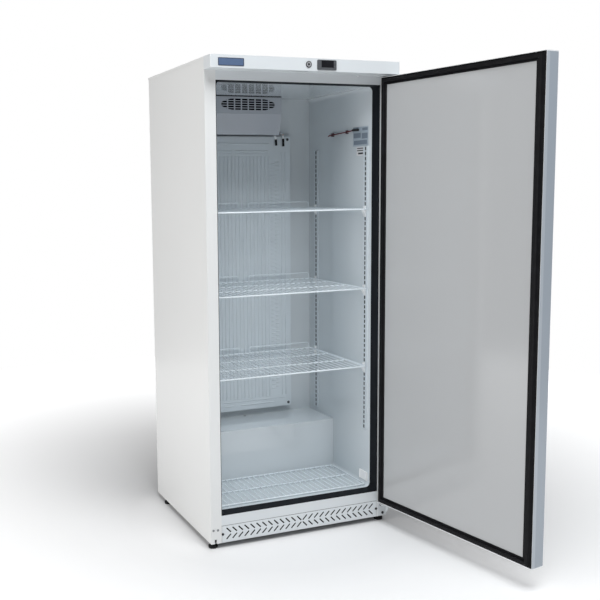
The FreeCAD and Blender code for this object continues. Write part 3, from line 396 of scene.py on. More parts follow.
finishes = {
    "white_steel": paintedSheet("sideCoat", {
        "colour": (0.765, 0.775, 0.775), "shade": 0.975, "cloud": 0.5, "peel": 0.0022, "depth": 0.00004,
        "rough": 0.36, "coat": 0.15}),
    "front_white": paintedSheet("frontCoat", {
        "colour": (0.70, 0.735, 0.76), "shade": 0.98, "cloud": 0.35, "peel": 0.002, "depth": 0.00003,
        "rough": 0.28, "coat": 0.25}),
    "wire_white": paintedSheet("wireCoat", {
        "colour": (0.82, 0.89, 0.94), "shade": 0.97, "cloud": 0.05, "peel": 0.004, "depth": 0.00005,
        "rough": 0.16, "coat": 0.7}),
    "evaporator": paintedSheet("coolingPlateCoat", {
        "colour": (0.70, 0.765, 0.81), "shade": 0.95, "cloud": 0.2, "peel": 0.0016, "depth": 0.00004,
        "rough": 0.34, "coat": 0.2}),
    "pilaster": paintedSheet("pilasterCoat", {
        "colour": (0.64, 0.70, 0.745), "shade": 0.96, "cloud": 0.1, "peel": 0.0016, "depth": 0.00003,
        "rough": 0.3, "coat": 0.2}),
    "compressor": paintedSheet("blackEnamel", {
        "colour": (0.018, 0.018, 0.02), "shade": 1.5, "cloud": 0.06, "peel": 0.003, "depth": 0.00008,
        "rough": 0.3, "coat": 0.4}),
    "liner": mouldedPlastic("linerPlastic", {
        "colour": (0.675, 0.73, 0.765), "shade": 0.965, "drift": 0.4, "grain": 0.002, "wave": 0.09,
        "grainDepth": 0.000006, "waveDepth": 0.0004, "rough": 0.07, "roughSpread": 0.04, "coat": 0.6}),
    "door_lining": mouldedPlastic("doorLiningPlastic", {
        "colour": (0.445, 0.455, 0.465), "shade": 0.98, "drift": 0.5, "grain": 0.002, "wave": 0.16,
        "grainDepth": 0.00001, "waveDepth": 0.0010, "rough": 0.12, "roughSpread": 0.05, "coat": 0.35}),
    "breaker": mouldedPlastic("breakerPlastic", {
        "colour": (0.005, 0.006, 0.008), "shade": 1.8, "drift": 0.08, "grain": 0.0012, "wave": 0.03,
        "grainDepth": 0.00003, "waveDepth": 0.0002, "rough": 0.5, "roughSpread": 0.15, "coat": 0.0,
        "gloss": 0.12}),
    "black_plastic": mouldedPlastic("blackPlastic", {
        "colour": (0.010, 0.010, 0.012), "shade": 1.6, "drift": 0.05, "grain": 0.0009, "wave": 0.02,
        "grainDepth": 0.00005, "waveDepth": 0.0001, "rough": 0.42, "roughSpread": 0.15, "coat": 0.0,
        "gloss": 0.2}),
    "grey_plastic": mouldedPlastic("greyPlastic", {
        "colour": (0.075, 0.08, 0.088), "shade": 1.25, "drift": 0.05, "grain": 0.0008, "wave": 0.02,
        "grainDepth": 0.00004, "waveDepth": 0.0001, "rough": 0.4, "roughSpread": 0.12, "coat": 0.0}),
    "button": mouldedPlastic("buttonPlastic", {
        "colour": (0.10, 0.105, 0.115), "shade": 0.9, "drift": 0.02, "grain": 0.0007, "wave": 0.01,
        "grainDepth": 0.00003, "waveDepth": 0.0001, "rough": 0.38, "roughSpread": 0.1, "coat": 0.1}),
    "white_plastic": mouldedPlastic("whitePlastic", {
        "colour": (0.88, 0.90, 0.92), "shade": 0.96, "drift": 0.06, "grain": 0.001, "wave": 0.02,
        "grainDepth": 0.00002, "waveDepth": 0.0001, "rough": 0.3, "roughSpread": 0.1, "coat": 0.2}),
    "gasket": softRubber("gasketRubber", {
        "colour": (0.003, 0.003, 0.004), "bloom": (0.008, 0.008, 0.010), "rough": 0.5, "gloss": 0.16}),
    "rubber": softRubber("mountRubber", {
        "colour": (0.014, 0.014, 0.015), "bloom": (0.05, 0.05, 0.05), "rough": 0.6, "gloss": 0.3}),
    "chrome": platedSteel("lockChrome", {
        "colour": (0.42, 0.43, 0.45), "shade": 0.7, "stretch": (1, 1, 1), "grain": 0.001, "rough": 0.16,
        "roughSpread": 0.12, "depth": 0.00001}),
    "zinc": platedSteel("zincPlate", {
        "colour": (0.62, 0.63, 0.65), "shade": 0.8, "stretch": (1, 1, 0.2), "grain": 0.0012, "rough": 0.3,
        "roughSpread": 0.2, "depth": 0.00003}),
    "fins": platedSteel("finAluminium", {
        "colour": (0.70, 0.71, 0.73), "shade": 0.85, "stretch": (1, 1, 0.15), "grain": 0.001, "rough": 0.32,
        "roughSpread": 0.2, "depth": 0.00002}),
    "galvanised": galvanisedSheet("galvanisedSheet", {
        "spangle": 0.009, "light": (0.57, 0.59, 0.61), "dark": (0.49, 0.51, 0.53)}),
    "foam": foamBlock("insulationFoam", {"fresh": (0.78, 0.68, 0.42), "aged": (0.62, 0.48, 0.24)}),
    "copper": copperTube("copperTube", {"bright": (0.66, 0.34, 0.20), "dull": (0.30, 0.15, 0.09)}),
    "display": smokedWindow("displayWindow", {"colour": (0.008, 0.008, 0.010), "sheen": (0.02, 0.02, 0.024)}),
}

badgeLow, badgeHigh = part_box("badge_plate")
badgeRim = 2.5 * mm
finishes["badge"] = badgeEnamel("badgeEnamel", {
    "middle": ((badgeLow.x + badgeHigh.x) / 2, (badgeLow.z + badgeHigh.z) / 2),
    "field": ((badgeHigh.x - badgeLow.x) / 2 - badgeRim, (badgeHigh.z - badgeLow.z) / 2 - badgeRim),
    "colour": (0.10, 0.155, 0.27), "deep": (0.08, 0.125, 0.225), "rim": (0.035, 0.047, 0.08)})
lockLow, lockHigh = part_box("lock_cylinder")
lockHead = 11.5 * mm  # radius of the lock's head
nodeFinishes = {
    # the kick grille's near-black edge colour is painted shade in its slots
    "kick_grille": grilleCoat("grilleCoat", {
        "face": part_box("kick_grille")[0].y, "skin": 0.2 * mm, "colour": (0.70, 0.735, 0.76),
        "edge": (0.008, 0.008, 0.010)}),
    "hole_plugs": mouldedPlastic("plugPlastic", {
        "colour": (0.22, 0.23, 0.245), "shade": 0.9, "drift": 0.02, "grain": 0.0008, "wave": 0.02,
        "grainDepth": 0.00002, "waveDepth": 0.0001, "rough": 0.4, "roughSpread": 0.1, "coat": 0.0}),
    "lock_cylinder": lockMetal("lockMetal", {
        "middle": (lockHigh.x - lockHead, 0.0, (lockLow.z + lockHigh.z) / 2), "core": 4.0 * mm,
        "rim": 9.0 * mm, "dark": (0.03, 0.03, 0.034), "bright": (0.55, 0.56, 0.58)}),
    # the door's two edge colours below are painted shade on its free edge
    "door_skin": doorCoat("doorCoat", {
        "colour": (0.78, 0.80, 0.815), "edgeStart": 387.4, "split": -24.0,
        "film": (0.36, 0.405, 0.46), "edgeShadeLight": (0.45, 0.49, 0.54)}),
    "temperature_probe": probeLead("probeLead", {
        "bulbEnd": -0.106, "red": (0.21, 0.012, 0.022), "deepRed": (0.07, 0.006, 0.010),
        "black": (0.012, 0.012, 0.014)}),
    "fan_housing": mouldedPlastic("housingPlastic", {
        "colour": (0.50, 0.535, 0.59), "shade": 0.96, "drift": 0.3, "grain": 0.0016, "wave": 0.08,
        "grainDepth": 0.00001, "waveDepth": 0.0004, "rough": 0.22, "roughSpread": 0.08, "coat": 0.3}),
    "cabinet_screws": platedSteel("blackenedScrew", {
        "colour": (0.035, 0.036, 0.04), "shade": 1.8, "stretch": (1, 1, 1), "grain": 0.001, "rough": 0.34,
        "roughSpread": 0.15, "depth": 0.00002}),
    "evaporator_fixings": platedSteel("darkFixing", {
        "colour": (0.10, 0.105, 0.115), "shade": 1.5, "stretch": (1, 1, 1), "grain": 0.001, "rough": 0.3,
        "roughSpread": 0.15, "depth": 0.00002}),
    "wall_clips": clipPlastic("clipPlastic", {
        "change": 1.0, "white": (0.92, 0.93, 0.94), "dark": (0.055, 0.008, 0.011)}),
}

slotOf = {part["node"]: part["material_slot"] for part in frame["record"]["subparts"]}
for node, holder in frame["nodes"].items():
    holder.data.materials.clear()
    holder.data.materials.append(nodeFinishes.get(node, finishes[slotOf[node]]))
print("finishes made:", len(finishes))


# Meshes and pieces

def newPiece(name, mesh, slot, body, smooth=True):
    piece = bpy.data.objects.new(name, mesh)
    bpy.context.scene.collection.objects.link(piece)
    if not mesh.materials:
        mesh.materials.append(finishes[slot])
    for face in mesh.polygons:
        face.use_smooth = smooth
    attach(piece, body)
    return piece


def bmeshTo(name, shape):
    bmesh.ops.remove_doubles(shape, verts=shape.verts, dist=1e-6)
    bmesh.ops.recalc_face_normals(shape, faces=shape.faces)
    mesh = bpy.data.meshes.new(name)
    shape.to_mesh(mesh)
    shape.free()
    return mesh


def wrap(shape, ring, following):
    # faces between two loops of points
    for i in range(len(ring)):
        j = (i + 1) % len(ring)
        shape.faces.new((ring[i], ring[j], following[j], following[i]))


def roundedOutline(low, high, radius, steps):
    # corners of a rectangle, low and high given as pairs, eased by a radius
    points = []
    middles = ((high[0] - radius, high[1] - radius), (low[0] + radius, high[1] - radius),
               (low[0] + radius, low[1] + radius), (high[0] - radius, low[1] + radius))
    for quarter, (a, b) in enumerate(middles):
        for step in range(steps):
            angle = math.radians(quarter * 90 + step * 90 / (steps - 1))
            points.append((a + radius * math.cos(angle), b + radius * math.sin(angle)))
    return points


class GrowTree:
    # a geometry tree with named inputs
    def __init__(self, name, inputs):
        self.group = bpy.data.node_groups.new(name, "GeometryNodeTree")
        self.group.interface.new_socket("Geometry", in_out="OUTPUT", socket_type="NodeSocketGeometry")
        self.ids = {}
        kinds = {float: "NodeSocketFloat", int: "NodeSocketInt"}
        for label, kind in inputs.items():
            item = self.group.interface.new_socket(label, in_out="INPUT", socket_type=kinds[kind])
            self.ids[label] = item.identifier
        self.inlet = self.group.nodes.new("NodeGroupInput")

    def given(self, label):
        return self.inlet.outputs[label]

    def add(self, kind, settings=None, values=None, out=0):
        node = self.group.nodes.new(kind)
        for key, setting in (settings or {}).items():
            setattr(node, key, setting)
        for key, value in (values or {}).items():
            if isinstance(value, bpy.types.NodeSocket):
                self.group.links.new(value, node.inputs[key])
            elif isinstance(value, list):
                for one in value:
                    self.group.links.new(one, node.inputs[key])
            else:
                node.inputs[key].default_value = value
        return node.outputs[out]

    def math(self, operation, first, second):
        return self.add("ShaderNodeMath", {"operation": operation}, {0: first, 1: second})

    def vector(self, x, y, z):
        return self.add("ShaderNodeCombineXYZ", {}, {0: x, 1: y, 2: z})

    def round(self, sides, radius):
        return self.add("GeometryNodeCurvePrimitiveCircle", {}, {"Resolution": sides, "Radius": radius})

    def bar(self, curve, section, capped=True):
        return self.add("GeometryNodeCurveToMesh", {}, {
            "Curve": curve, "Profile Curve": section, "Fill Caps": capped})

    def close(self, geometry, material):
        plain = self.add("GeometryNodeRealizeInstances", {}, {0: geometry})
        dressed = self.add("GeometryNodeSetMaterial", {}, {"Geometry": plain, "Material": material})
        outlet = self.group.nodes.new("NodeGroupOutput")
        self.group.links.new(dressed, outlet.inputs[0])

    def grow(self, name, values, seed=None):
        # evaluates the tree once and hands back a plain mesh
        holder = bpy.data.objects.new(name + "Seed", seed or bpy.data.meshes.new(name + "Seed"))
        bpy.context.scene.collection.objects.link(holder)
        modifier = holder.modifiers.new("grow", "NODES")
        modifier.node_group = self.group
        for label, value in values.items():
            modifier[self.ids[label]] = value
        graph = bpy.context.evaluated_depsgraph_get()
        mesh = bpy.data.meshes.new_from_object(holder.evaluated_get(graph), depsgraph=graph)
        holder.modifiers.remove(modifier)
        bpy.data.objects.remove(holder)
        mesh.name = name
        return mesh


# Wire shelves

shelfLook = {"rimRadius": 3.0, "wireRadius": 1.75, "pitch": 25.0, "cornerRadius": 9.0, "wireLift": 1.5,
             "hoopRadius": 2.2, "hoopRise": 27.0, "hoops": ((-312.0, -32.0), (16.0, 312.0)),
             "hoopBend": 9.0, "shelfCross": (157.0, 317.0), "rackCross": (139.0,), "crossRadius": 2.4,
             "crossDrop": 0.3, "sideGap": 1.0, "feet": (-287.5, 287.5), "footRadius": 2.5}


def wireRackTree():
    tree = GrowTree("wireRack", {"Width": float, "Depth": float, "Rim Radius": float, "Wire Radius": float,
                                 "Corner Radius": float, "Pitch": float, "Wires": int, "Wire Lift": float})
    width, depth = tree.given("Width"), tree.given("Depth")
    rimRound = tree.round(12, tree.given("Rim Radius"))
    wireRound = tree.round(8, tree.given("Wire Radius"))
    outline = tree.add("GeometryNodeCurvePrimitiveQuadrilateral", {}, {"Width": width, "Height": depth})
    bent = tree.add("GeometryNodeFilletCurve", {"mode": "POLY"}, {
        "Curve": outline, "Radius": tree.given("Corner Radius"), "Count": 6})
    rim = tree.bar(bent, rimRound, False)
    half = tree.math("MULTIPLY", depth, 0.5)
    start = tree.vector(0.0, tree.math("MULTIPLY", half, -1.0), tree.given("Wire Lift"))
    finish = tree.vector(0.0, half, tree.given("Wire Lift"))
    line = tree.add("GeometryNodeCurvePrimitiveLine", {}, {"Start": start, "End": finish})
    wire = tree.bar(line, wireRound)
    count = tree.given("Wires")
    gaps = tree.math("SUBTRACT", count, 1)
    first = tree.math("MULTIPLY", tree.math("MULTIPLY", gaps, tree.given("Pitch")), -0.5)
    row = tree.add("GeometryNodeMeshLine", {}, {
        "Count": count, "Start Location": tree.vector(first, 0.0, 0.0),
        "Offset": tree.vector(tree.given("Pitch"), 0.0, 0.0)})
    wires = tree.add("GeometryNodeInstanceOnPoints", {}, {"Points": row, "Instance": wire})
    whole = tree.add("GeometryNodeJoinGeometry", {}, {0: [rim, wires]})
    tree.close(whole, finishes["wire_white"])
    return tree


def tubeTree(slot):
    # turns every drawn edge into a round bar with eased bends
    tree = GrowTree(slot + "Bar", {"Radius": float, "Bend": float, "Sides": int})
    item = tree.group.interface.new_socket("Path", in_out="INPUT", socket_type="NodeSocketGeometry")
    tree.group.interface.move(item, 0)
    path = tree.add("GeometryNodeMeshToCurve", {}, {"Mesh": tree.inlet.outputs["Path"]})
    bent = tree.add("GeometryNodeFilletCurve", {"mode": "POLY"}, {
        "Curve": path, "Radius": tree.given("Bend"), "Count": 5})
    bar = tree.bar(bent, tree.round(tree.given("Sides"), tree.given("Radius")))
    tree.close(bar, finishes[slot])
    return tree


def pathMesh(name, paths):
    mesh = bpy.data.meshes.new(name)
    points, edges = [], []
    for path in paths:
        base = len(points)
        points += [tuple(p) for p in path]
        edges += [(base + i, base + i + 1) for i in range(len(path) - 1)]
    mesh.from_pydata(points, edges, [])
    return mesh


wireRack = wireRackTree()
barTrees = {slot: tubeTree(slot) for slot in ("wire_white", "white_plastic", "black_plastic")}


def barMesh(name, paths, radius, slot="wire_white", bend=0.0):
    values = {"Radius": radius * mm, "Bend": bend * mm, "Sides": 10}
    return barTrees[slot].grow(name, values, pathMesh(name + "Path", paths))


def merged(name, meshes):
    shape = bmesh.new()
    for mesh, offset in meshes:
        part = mesh.copy()
        part.transform(Matrix.Translation(Vector(offset)))
        shape.from_mesh(part)
        bpy.data.meshes.remove(part)
    result = bpy.data.meshes.new(name)
    shape.to_mesh(result)
    shape.free()
    return result


def wireShelf(node, body, cross, hoops):
    look = shelfLook
    low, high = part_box(node)
    rim = look["rimRadius"] * mm
    width = high.x - low.x - 2 * rim
    depth = high.y - low.y - 2 * rim
    front, back = low.y + rim, high.y - rim
    if hoops:
        rise = high.z - look["hoopRadius"] * mm
        level = rise - look["hoopRise"] * mm
    else:
        level = high.z - (look["wireLift"] + look["wireRadius"]) * mm
    pitch = look["pitch"] * mm
    grid = wireRack.grow(node + "Grid", {
        "Width": width, "Depth": depth, "Rim Radius": rim, "Wire Radius": look["wireRadius"] * mm,
        "Corner Radius": look["cornerRadius"] * mm, "Pitch": pitch,
        "Wires": int(2 * (width / 2 - look["sideGap"] * mm) / pitch), "Wire Lift": look["wireLift"] * mm})
    barLevel = level - look["crossDrop"] * mm
    bars = [[(x, front + y * mm, barLevel) for x in (low.x + rim, high.x - rim)] for y in cross]
    middle = Vector(((low.x + high.x) / 2, (low.y + high.y) / 2, level))
    meshes = [(grid, middle), (barMesh(node + "Cross", bars, look["crossRadius"]), (0, 0, 0))]
    if hoops:
        paths = [[(x * mm, back, z) for x, z in ((x0, level), (x0, rise), (x1, rise), (x1, level))]
                 for x0, x1 in hoops]
        meshes.append((barMesh(node + "Hoops", paths, look["hoopRadius"], bend=look["hoopBend"]), (0, 0, 0)))
    else:
        stubs = [[(x * mm, y, low.z), (x * mm, y, level)] for x in look["feet"] for y in (front, back)]
        meshes.append((barMesh(node + "Feet", stubs, look["footRadius"]), (0, 0, 0)))
    mesh = merged(node + "Wires", meshes)
    mesh.materials.clear()
    piece = newPiece(node + "Wires", mesh, "wire_white", body)
    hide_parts(node)


wireShelf("floor_rack", "floor_rack_body", shelfLook["rackCross"], None)
for number in (1, 2, 3):
    wireShelf("shelf_%d" % number, "shelf_%d_body" % number, shelfLook["shelfCross"], shelfLook["hoops"])
print("shelves made")


# Door gasket: one moulding with mitred corners, drawn as nested outlines

gasketLook = {
    # outer edge and width of each side, in mm
    "left": (-386.0, 36.0), "right": (382.0, 30.0), "top": (1790.0, 28.0), "bottom": (91.0, 27.0),
    "back": -10.0,
    # share of the width from the outer edge, and height off the door in mm
    "profile": ((0.0, 0.0), (0.0, 2.4), (0.03, 3.0), (0.10, 3.0), (0.14, 2.2), (0.19, 2.0), (0.23, 3.6),
                (0.27, 6.6), (0.30, 8.6), (0.34, 9.4), (0.42, 9.6), (0.56, 9.6), (0.64, 9.3), (0.68, 8.2),
                (0.71, 6.0), (0.735, 3.0), (0.77, 2.2), (0.81, 3.4), (0.85, 4.0), (0.90, 3.6), (0.94, 2.4),
                (1.0, 1.6), (1.0, 0.0))}


def doorGasket():
    look = gasketLook
    shape = bmesh.new()
    rings = []
    for share, height in look["profile"]:
        x0 = look["left"][0] + look["left"][1] * share
        x1 = look["right"][0] - look["right"][1] * share
        z0 = look["bottom"][0] + look["bottom"][1] * share
        z1 = look["top"][0] - look["top"][1] * share
        y = look["back"] + height
        corners = ((x0, z0), (x1, z0), (x1, z1), (x0, z1))
        rings.append([shape.verts.new(doorPoint(x, y, z)) for x, z in corners])
    for ring, following in zip(rings, rings[1:] + rings[:1]):
        wrap(shape, ring, following)
    piece = newPiece("gasketRing", bmeshTo("gasketRing", shape), "gasket", "door", smooth=False)
    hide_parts("door_gasket")


doorGasket()
print("gasket made")


# Cooling plate: a pressed pair of sheets with blown channels

midRuns = ((-184.0, 62.0), (-92.0, 76.0), (42.0, 150.0))  # middle and length
plateLook = {
    "edge": 6.0, "thick": 1.5, "ridgeHeight": 2.2,
    "channelPitch": 17.6, "channels": 20, "channelFrom": -212.0, "channelLow": 438.0, "channelHigh": 1508.0,
    "channelRadius": 3.6,
    "ladderX": (143.0, 163.0), "ladderPitch": 18.0, "ladderLow": 470.0, "ladderHigh": 1500.0,
    "ladderHalf": 7.0, "ladderRadius": 2.8,
    "rightRuns": (186.0, 204.0), "rightExtra": 20.0, "rightRadius": 3.2,
    "headers": {1566.0: ((-40.0, 330.0),), 1535.0: midRuns, 1520.0: midRuns, 424.0: ((0.0, 400.0),),
                406.0: ((-120.0, 120.0), (60.0, 160.0))},
    "headerRadius": 3.0}


def ridgeTree():
    # a flattened bead, repeated in a row
    tree = GrowTree("blownChannel", {"Length": float, "Radius": float, "Flatness": float, "Count": int,
                                     "Step": float})
    half = tree.math("MULTIPLY", tree.given("Length"), 0.5)
    # the bead is a ball drawn out in z, and an odd count of rings leaves none at the middle
    ball = tree.add("GeometryNodeMeshUVSphere", {}, {
        "Segments": 8, "Rings": 7, "Radius": tree.given("Radius")})
    place = tree.add("GeometryNodeInputPosition")
    height = tree.add("ShaderNodeSeparateXYZ", {}, {0: place}, out=2)
    side = tree.math("SIGN", height, 0.0)
    run = tree.math("MULTIPLY", side, half)
    drawn = tree.add("GeometryNodeSetPosition", {}, {"Geometry": ball, "Offset": tree.vector(0.0, 0.0, run)})
    flat = tree.add("GeometryNodeTransform", {}, {
        "Geometry": drawn, "Scale": tree.vector(1.0, tree.given("Flatness"), 1.0)})
    row = tree.add("GeometryNodeMeshLine", {}, {
        "Count": tree.given("Count"), "Offset": tree.vector(tree.given("Step"), 0.0, 0.0)})
    beads = tree.add("GeometryNodeInstanceOnPoints", {}, {"Points": row, "Instance": flat})
    tree.close(beads, finishes["evaporator"])
    return tree


def roundedSlab(name, corners, y0, y1, radius):
    # a thin plate facing along y, corners as x0, x1, z0, z1 in mm
    x0, x1, z0, z1 = corners
    shape = bmesh.new()
    outline = roundedOutline((x0, z0), (x1, z1), radius, 5)
    front = [shape.verts.new(cabinetPoint(x, y0, z)) for x, z in outline]
    face = shape.faces.new(front)
    grown = bmesh.ops.extrude_face_region(shape, geom=[face])
    moved = [v for v in grown["geom"] if isinstance(v, bmesh.types.BMVert)]
    bmesh.ops.translate(shape, verts=moved, vec=(0, (y1 - y0) * mm, 0))
    return bmeshTo(name, shape)


def coolingPlate():
    look = plateLook
    low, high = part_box("evaporator_plate")
    top, bottom = high.z / mm, low.z / mm
    front = high.y / mm + originY - look["thick"]
    half = high.x / mm
    outline = (-half, half, bottom, top)
    sheet = roundedSlab("coolingSheet", outline, front, front + look["thick"], look["edge"])
    meshes = [(sheet, (0, 0, 0))]
    bead = ridgeTree()

    def beads(name, length, radius, x, z, count=1, step=0.0, turned=False):
        # a turned bead lies along x, and its row then runs up
        mesh = bead.grow(name, {
            "Length": length * mm, "Radius": radius * mm, "Flatness": look["ridgeHeight"] / radius,
            "Count": count, "Step": step * mm})
        if turned:
            mesh.transform(Matrix.Rotation(math.pi / 2, 4, "Y"))
        meshes.append((mesh, cabinetPoint(x, front, z)))

    middle = (look["channelLow"] + look["channelHigh"]) / 2
    length = look["channelHigh"] - look["channelLow"]
    beads("channels", length, look["channelRadius"], look["channelFrom"], middle,
          look["channels"], look["channelPitch"])
    extra = look["rightExtra"]
    for x in look["rightRuns"]:
        beads("rightRun", length + extra, look["rightRadius"], x, middle + extra / 2)
    pitch = look["ladderPitch"]
    count = int((look["ladderHigh"] - look["ladderLow"]) / pitch)
    for side, x in enumerate(look["ladderX"]):
        beads("ladder", 2 * look["ladderHalf"], look["ladderRadius"], x,
              look["ladderLow"] + side * pitch / 2, count, -pitch, turned=True)
    for z, runs in look["headers"].items():
        for x, run in runs:
            beads("header", run, look["headerRadius"], x, z, turned=True)
    mesh = merged("coolingPlate", meshes)
    mesh.materials.clear()
    piece = newPiece("coolingPlate", mesh, "evaporator", "cabinet")
    for face in piece.data.polygons:
        face.use_smooth = len(face.vertices) < 10 and abs(face.normal.y) < 0.999
    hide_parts("evaporator_plate")


coolingPlate()

# Pipe tails under the fan housing, in their sleeves
pipeLook = {
    "tailRadius": 4.3, "tailBend": 6.0,
    "tails": (((150, 541, 1601), (155, 541, 1588), (157, 541, 1574)),
              ((188, 567, 1613), (190, 541, 1604), (191.5, 541, 1572))),
    "sleeveRadius": 5.0,
    "sleeves": (((155.6, 541, 1584), (157.3, 541, 1558)), ((191, 541, 1588), (192.2, 541, 1555)))}


def rodsAlong(name, paths, radius, slot, bend=0.0):
    placed = [[cabinetPoint(*point) for point in path] for path in paths]
    newPiece(name, barMesh(name, placed, radius, slot, bend), slot, "cabinet")


rodsAlong("pipeTails", pipeLook["tails"], pipeLook["tailRadius"], "white_plastic", pipeLook["tailBend"])
rodsAlong("pipeSleeves", pipeLook["sleeves"], pipeLook["sleeveRadius"], "black_plastic")
print("cooling plate made")


# Painted shade: near-black pieces that show through the slotted uprights, the oval grille and the kick
# grille, and one in the seam along the fan housing

paintedShadeBlack = softRubber("paintedShadeBlack", {
    "colour": (0.001, 0.001, 0.001), "bloom": (0.003, 0.003, 0.003), "rough": 0.8, "gloss": 0.02})
shadePieceLook = {
    # behind the uprights: half width, then where it starts and ends across
    "strip": (10.0, 334.9, 337.6), "stripWall": 1.2, "uprights": (86.0, 503.0),
    "stripHeight": (376.0, 1532.0),
    # the slabs: their outline, where they start and end in depth, and their corner radius
    "grilleShadeSlab": ((-146.0, 146.0, 1693.0, 1757.0), 484.0, 485.5, 20.0),
    "seam": ((-154.0, 154.0, 1759.2, 1761.8), 478.6, 480.4, 0.8),
    "filter": (-342.0, 342.0, 28.0, 87.0), "filterFront": 1.8, "filterThick": 1.2, "pleat": 6.0, "fold": 1.4}


def newShadePiece(name, mesh):
    mesh.materials.append(paintedShadeBlack)
    newPiece(name, mesh, "black_plastic", "cabinet", smooth=False)


# near-black channels inside the slotted uprights: painted shade behind the slots
def uprightShade():
    shape = bmesh.new()
    half, x0, x1 = shadePieceLook["strip"]
    wall = shadePieceLook["stripWall"]
    for side in (-1, 1):
        for y in shadePieceLook["uprights"]:
            # a shallow channel section
            y0, y1 = y - half, y + half
            section = [(x1, y0), (x0, y0), (x0, y1), (x1, y1), (x1, y1 - wall), (x0 + wall, y1 - wall),
                       (x0 + wall, y0 + wall), (x1, y0 + wall)]
            rings = [[shape.verts.new(cabinetPoint(side * a, b, z)) for a, b in section]
                     for z in shadePieceLook["stripHeight"]]
            wrap(shape, *rings)
            for ring in rings:
                shape.faces.new(ring)
    newShadePiece("uprightShade", bmeshTo("uprightShade", shape))


def dustFilterShade():
    # pleated filter behind the kick grille, near-black as painted shade behind the slots
    look = shadePieceLook
    x0, x1, z0, z1 = look["filter"]
    shape = bmesh.new()
    count = int((x1 - x0) / look["pleat"])
    columns = []
    for i in range(count + 1):
        x = x0 + (x1 - x0) * i / count
        y0 = look["filterFront"] + (i % 2) * look["fold"]
        y1 = y0 + look["filterThick"]
        section = ((y0, z0), (y0, z1), (y1, z1), (y1, z0))
        columns.append([shape.verts.new(cabinetPoint(x, y, z)) for y, z in section])
    for column, following in zip(columns, columns[1:]):
        wrap(shape, column, following)
    shape.faces.new(columns[0])
    shape.faces.new(columns[-1])
    newShadePiece("dustFilterShade", bmeshTo("dustFilterShade", shape))


uprightShade()
# a near-black slab behind the oval fan grille: painted shade
newShadePiece("grilleShade", roundedSlab("grilleShade", *shadePieceLook["grilleShadeSlab"]))
# a near-black strip in the fan housing's seam: painted shadow in the gap
newShadePiece("housingSeamShadow", roundedSlab("housingSeamShadow", *shadePieceLook["seam"]))
dustFilterShade()
print("backing made")


# Blank labels on the right wall

labelWall = 337.95  # the liner's face, mm
labelThick = 0.25
labelCorner = 2.5
labelLook = {
    "rating": {
        "box": (72.0, 191.0, 1537.0, 1614.0), "ground": (0.42, 0.50, 0.57), "ink": (0.19, 0.235, 0.29),
        "blocks": ((148.0, 190.0, 1599.0, 1613.0), (78.0, 118.0, 1598.0, 1609.0),
                   (130.0, 186.0, 1570.0, 1590.0), (78.0, 122.0, 1566.0, 1588.0),
                   (82.0, 184.0, 1543.0, 1560.0))},
    "notice": {
        "box": (102.0, 162.0, 1498.0, 1534.0), "ground": (0.80, 0.81, 0.82), "ink": (0.03, 0.03, 0.035),
        "blocks": ((106.0, 158.0, 1526.0, 1530.0), (106.0, 158.0, 1517.0, 1521.0),
                   (112.0, 150.0, 1504.0, 1511.0))},
}


def wallLabel(name, look):
    y0, y1, z0, z1 = look["box"]
    shape = bmesh.new()
    outline = roundedOutline((y0, z0), (y1, z1), labelCorner, 4)
    back, front = [[shape.verts.new(cabinetPoint(x, y, z)) for y, z in outline]
                   for x in (labelWall, labelWall - labelThick)]
    shape.faces.new(back)
    shape.faces.new(front)
    wrap(shape, back, front)
    mesh = bmeshTo(name, shape)
    blocks = [((a - originY) * mm, (b - originY) * mm, c * mm, d * mm) for a, b, c, d in look["blocks"]]
    film = {"ground": look["ground"], "ink": look["ink"], "blocks": blocks}
    mesh.materials.append(blankLabel(name + "Film", film))
    newPiece(name, mesh, "white_plastic", "cabinet", smooth=False)


for labelName, labelShape in labelLook.items():
    wallLabel(labelName + "Label", labelShape)
print("labels made")


# Floor, light and camera

studio = {"floor": (0.93, 0.93, 0.935), "floorReach": 3.6, "paleFrom": 0.6, "paleOver": 2.4, "pale": 0.9,
          "sky": 0.175, "skyColour": (0.97, 0.985, 1.0)}
lightLook = {
    "overhead": {"place": (-0.3, -2.6, 4.6), "aim": (0, -0.1, 0.6), "size": (3.2, 2.6), "power": 172,
                 "colour": (0.96, 0.983, 1.0)},
    "leftFill": {"place": (-3.8, -0.8, 1.7), "aim": (0, 0, 0.9), "size": (2.0, 2.4), "power": 66,
                 "colour": (1.0, 0.97, 0.94)},
}
cameraLook = {"place": (-1.5668, -3.3262, 1.3781), "yaw": 0.37606, "pitch": -0.12109, "roll": -0.01492,
              "lens": 53.249, "shiftX": 0.1462, "shiftY": -0.0071}


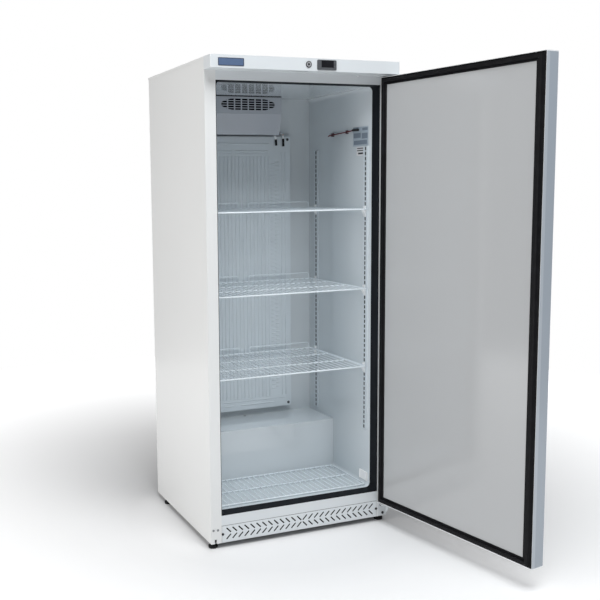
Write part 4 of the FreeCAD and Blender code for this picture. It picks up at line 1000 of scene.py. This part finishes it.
def paleFloor():
    shader = Shader("floorPaint")
    cloud = shader.noise(shader.place(), 0.8, 2.0)
    base = studio["floor"]
    colour = shader.blend(cloud, base, tuple(c * 0.99 for c in base))
    # the floor brightens away from the middle, like a lit paper sweep
    far = shader.vector("LENGTH", shader.place(), out="Value")
    pale = ((far - studio["paleFrom"]) / studio["paleOver"]).clipped() * studio["pale"]
    glow = shader.blend(pale, (0.0, 0.0, 0.0), (1.0, 1.0, 1.0))
    material = shader.finish({"Base Color": colour, "Roughness": 0.55 + cloud * 0.1, "Emission Color": glow,
                              "Emission Strength": 1.0})
    shape = bmesh.new()
    bmesh.ops.create_circle(shape, cap_ends=True, segments=96, radius=studio["floorReach"])
    mesh = bpy.data.meshes.new("floor")
    shape.to_mesh(mesh)
    shape.free()
    mesh.materials.append(material)
    floor = bpy.data.objects.new("floor", mesh)
    bpy.context.scene.collection.objects.link(floor)


def softLight(name, look):
    data = bpy.data.lights.new(name, "AREA")
    data.shape = "RECTANGLE"
    data.size, data.size_y = look["size"]
    data.energy = look["power"]
    data.color = look["colour"]
    lamp = bpy.data.objects.new(name, data)
    bpy.context.scene.collection.objects.link(lamp)
    lamp.location = look["place"]
    lamp.rotation_euler = (Vector(look["aim"]) - Vector(look["place"])).to_track_quat("-Z", "Y").to_euler()


def studioSky():
    bpy.context.scene.view_settings.view_transform = "Standard"
    world = bpy.data.worlds.new("studio")
    bpy.context.scene.world = world
    world.use_nodes = True
    tree = world.node_tree
    glow = tree.nodes["Background"]
    glow.inputs["Color"].default_value = (*studio["skyColour"], 1.0)
    glow.inputs["Strength"].default_value = studio["sky"]
    paper = tree.nodes.new("ShaderNodeBackground")
    paper.inputs["Color"].default_value = (1.0, 1.0, 1.0, 1.0)
    choice = tree.nodes.new("ShaderNodeMixShader")
    ray = tree.nodes.new("ShaderNodeLightPath")
    tree.links.new(ray.outputs["Is Camera Ray"], choice.inputs[0])
    tree.links.new(glow.outputs[0], choice.inputs[1])
    tree.links.new(paper.outputs[0], choice.inputs[2])
    tree.links.new(choice.outputs[0], tree.nodes["World Output"].inputs["Surface"])


def viewCamera():
    data = bpy.data.cameras.new("view")
    data.sensor_width = 36.0
    data.lens = cameraLook["lens"]
    data.shift_x = cameraLook["shiftX"]
    data.shift_y = cameraLook["shiftY"]
    data.clip_end = 100.0
    camera = bpy.data.objects.new("view", data)
    bpy.context.scene.collection.objects.link(camera)
    yaw = Matrix.Rotation(-cameraLook["yaw"], 4, "Z")
    pitch = Matrix.Rotation(math.pi / 2 + cameraLook["pitch"], 4, "X")
    roll = Matrix.Rotation(cameraLook["roll"], 4, "Z")
    camera.matrix_world = Matrix.Translation(cameraLook["place"]) @ (yaw @ pitch @ roll)
    bpy.context.scene.camera = camera


paleFloor()
studioSky()
for lightName, lightSettings in lightLook.items():
    softLight(lightName, lightSettings)
viewCamera()

print("scene ready")
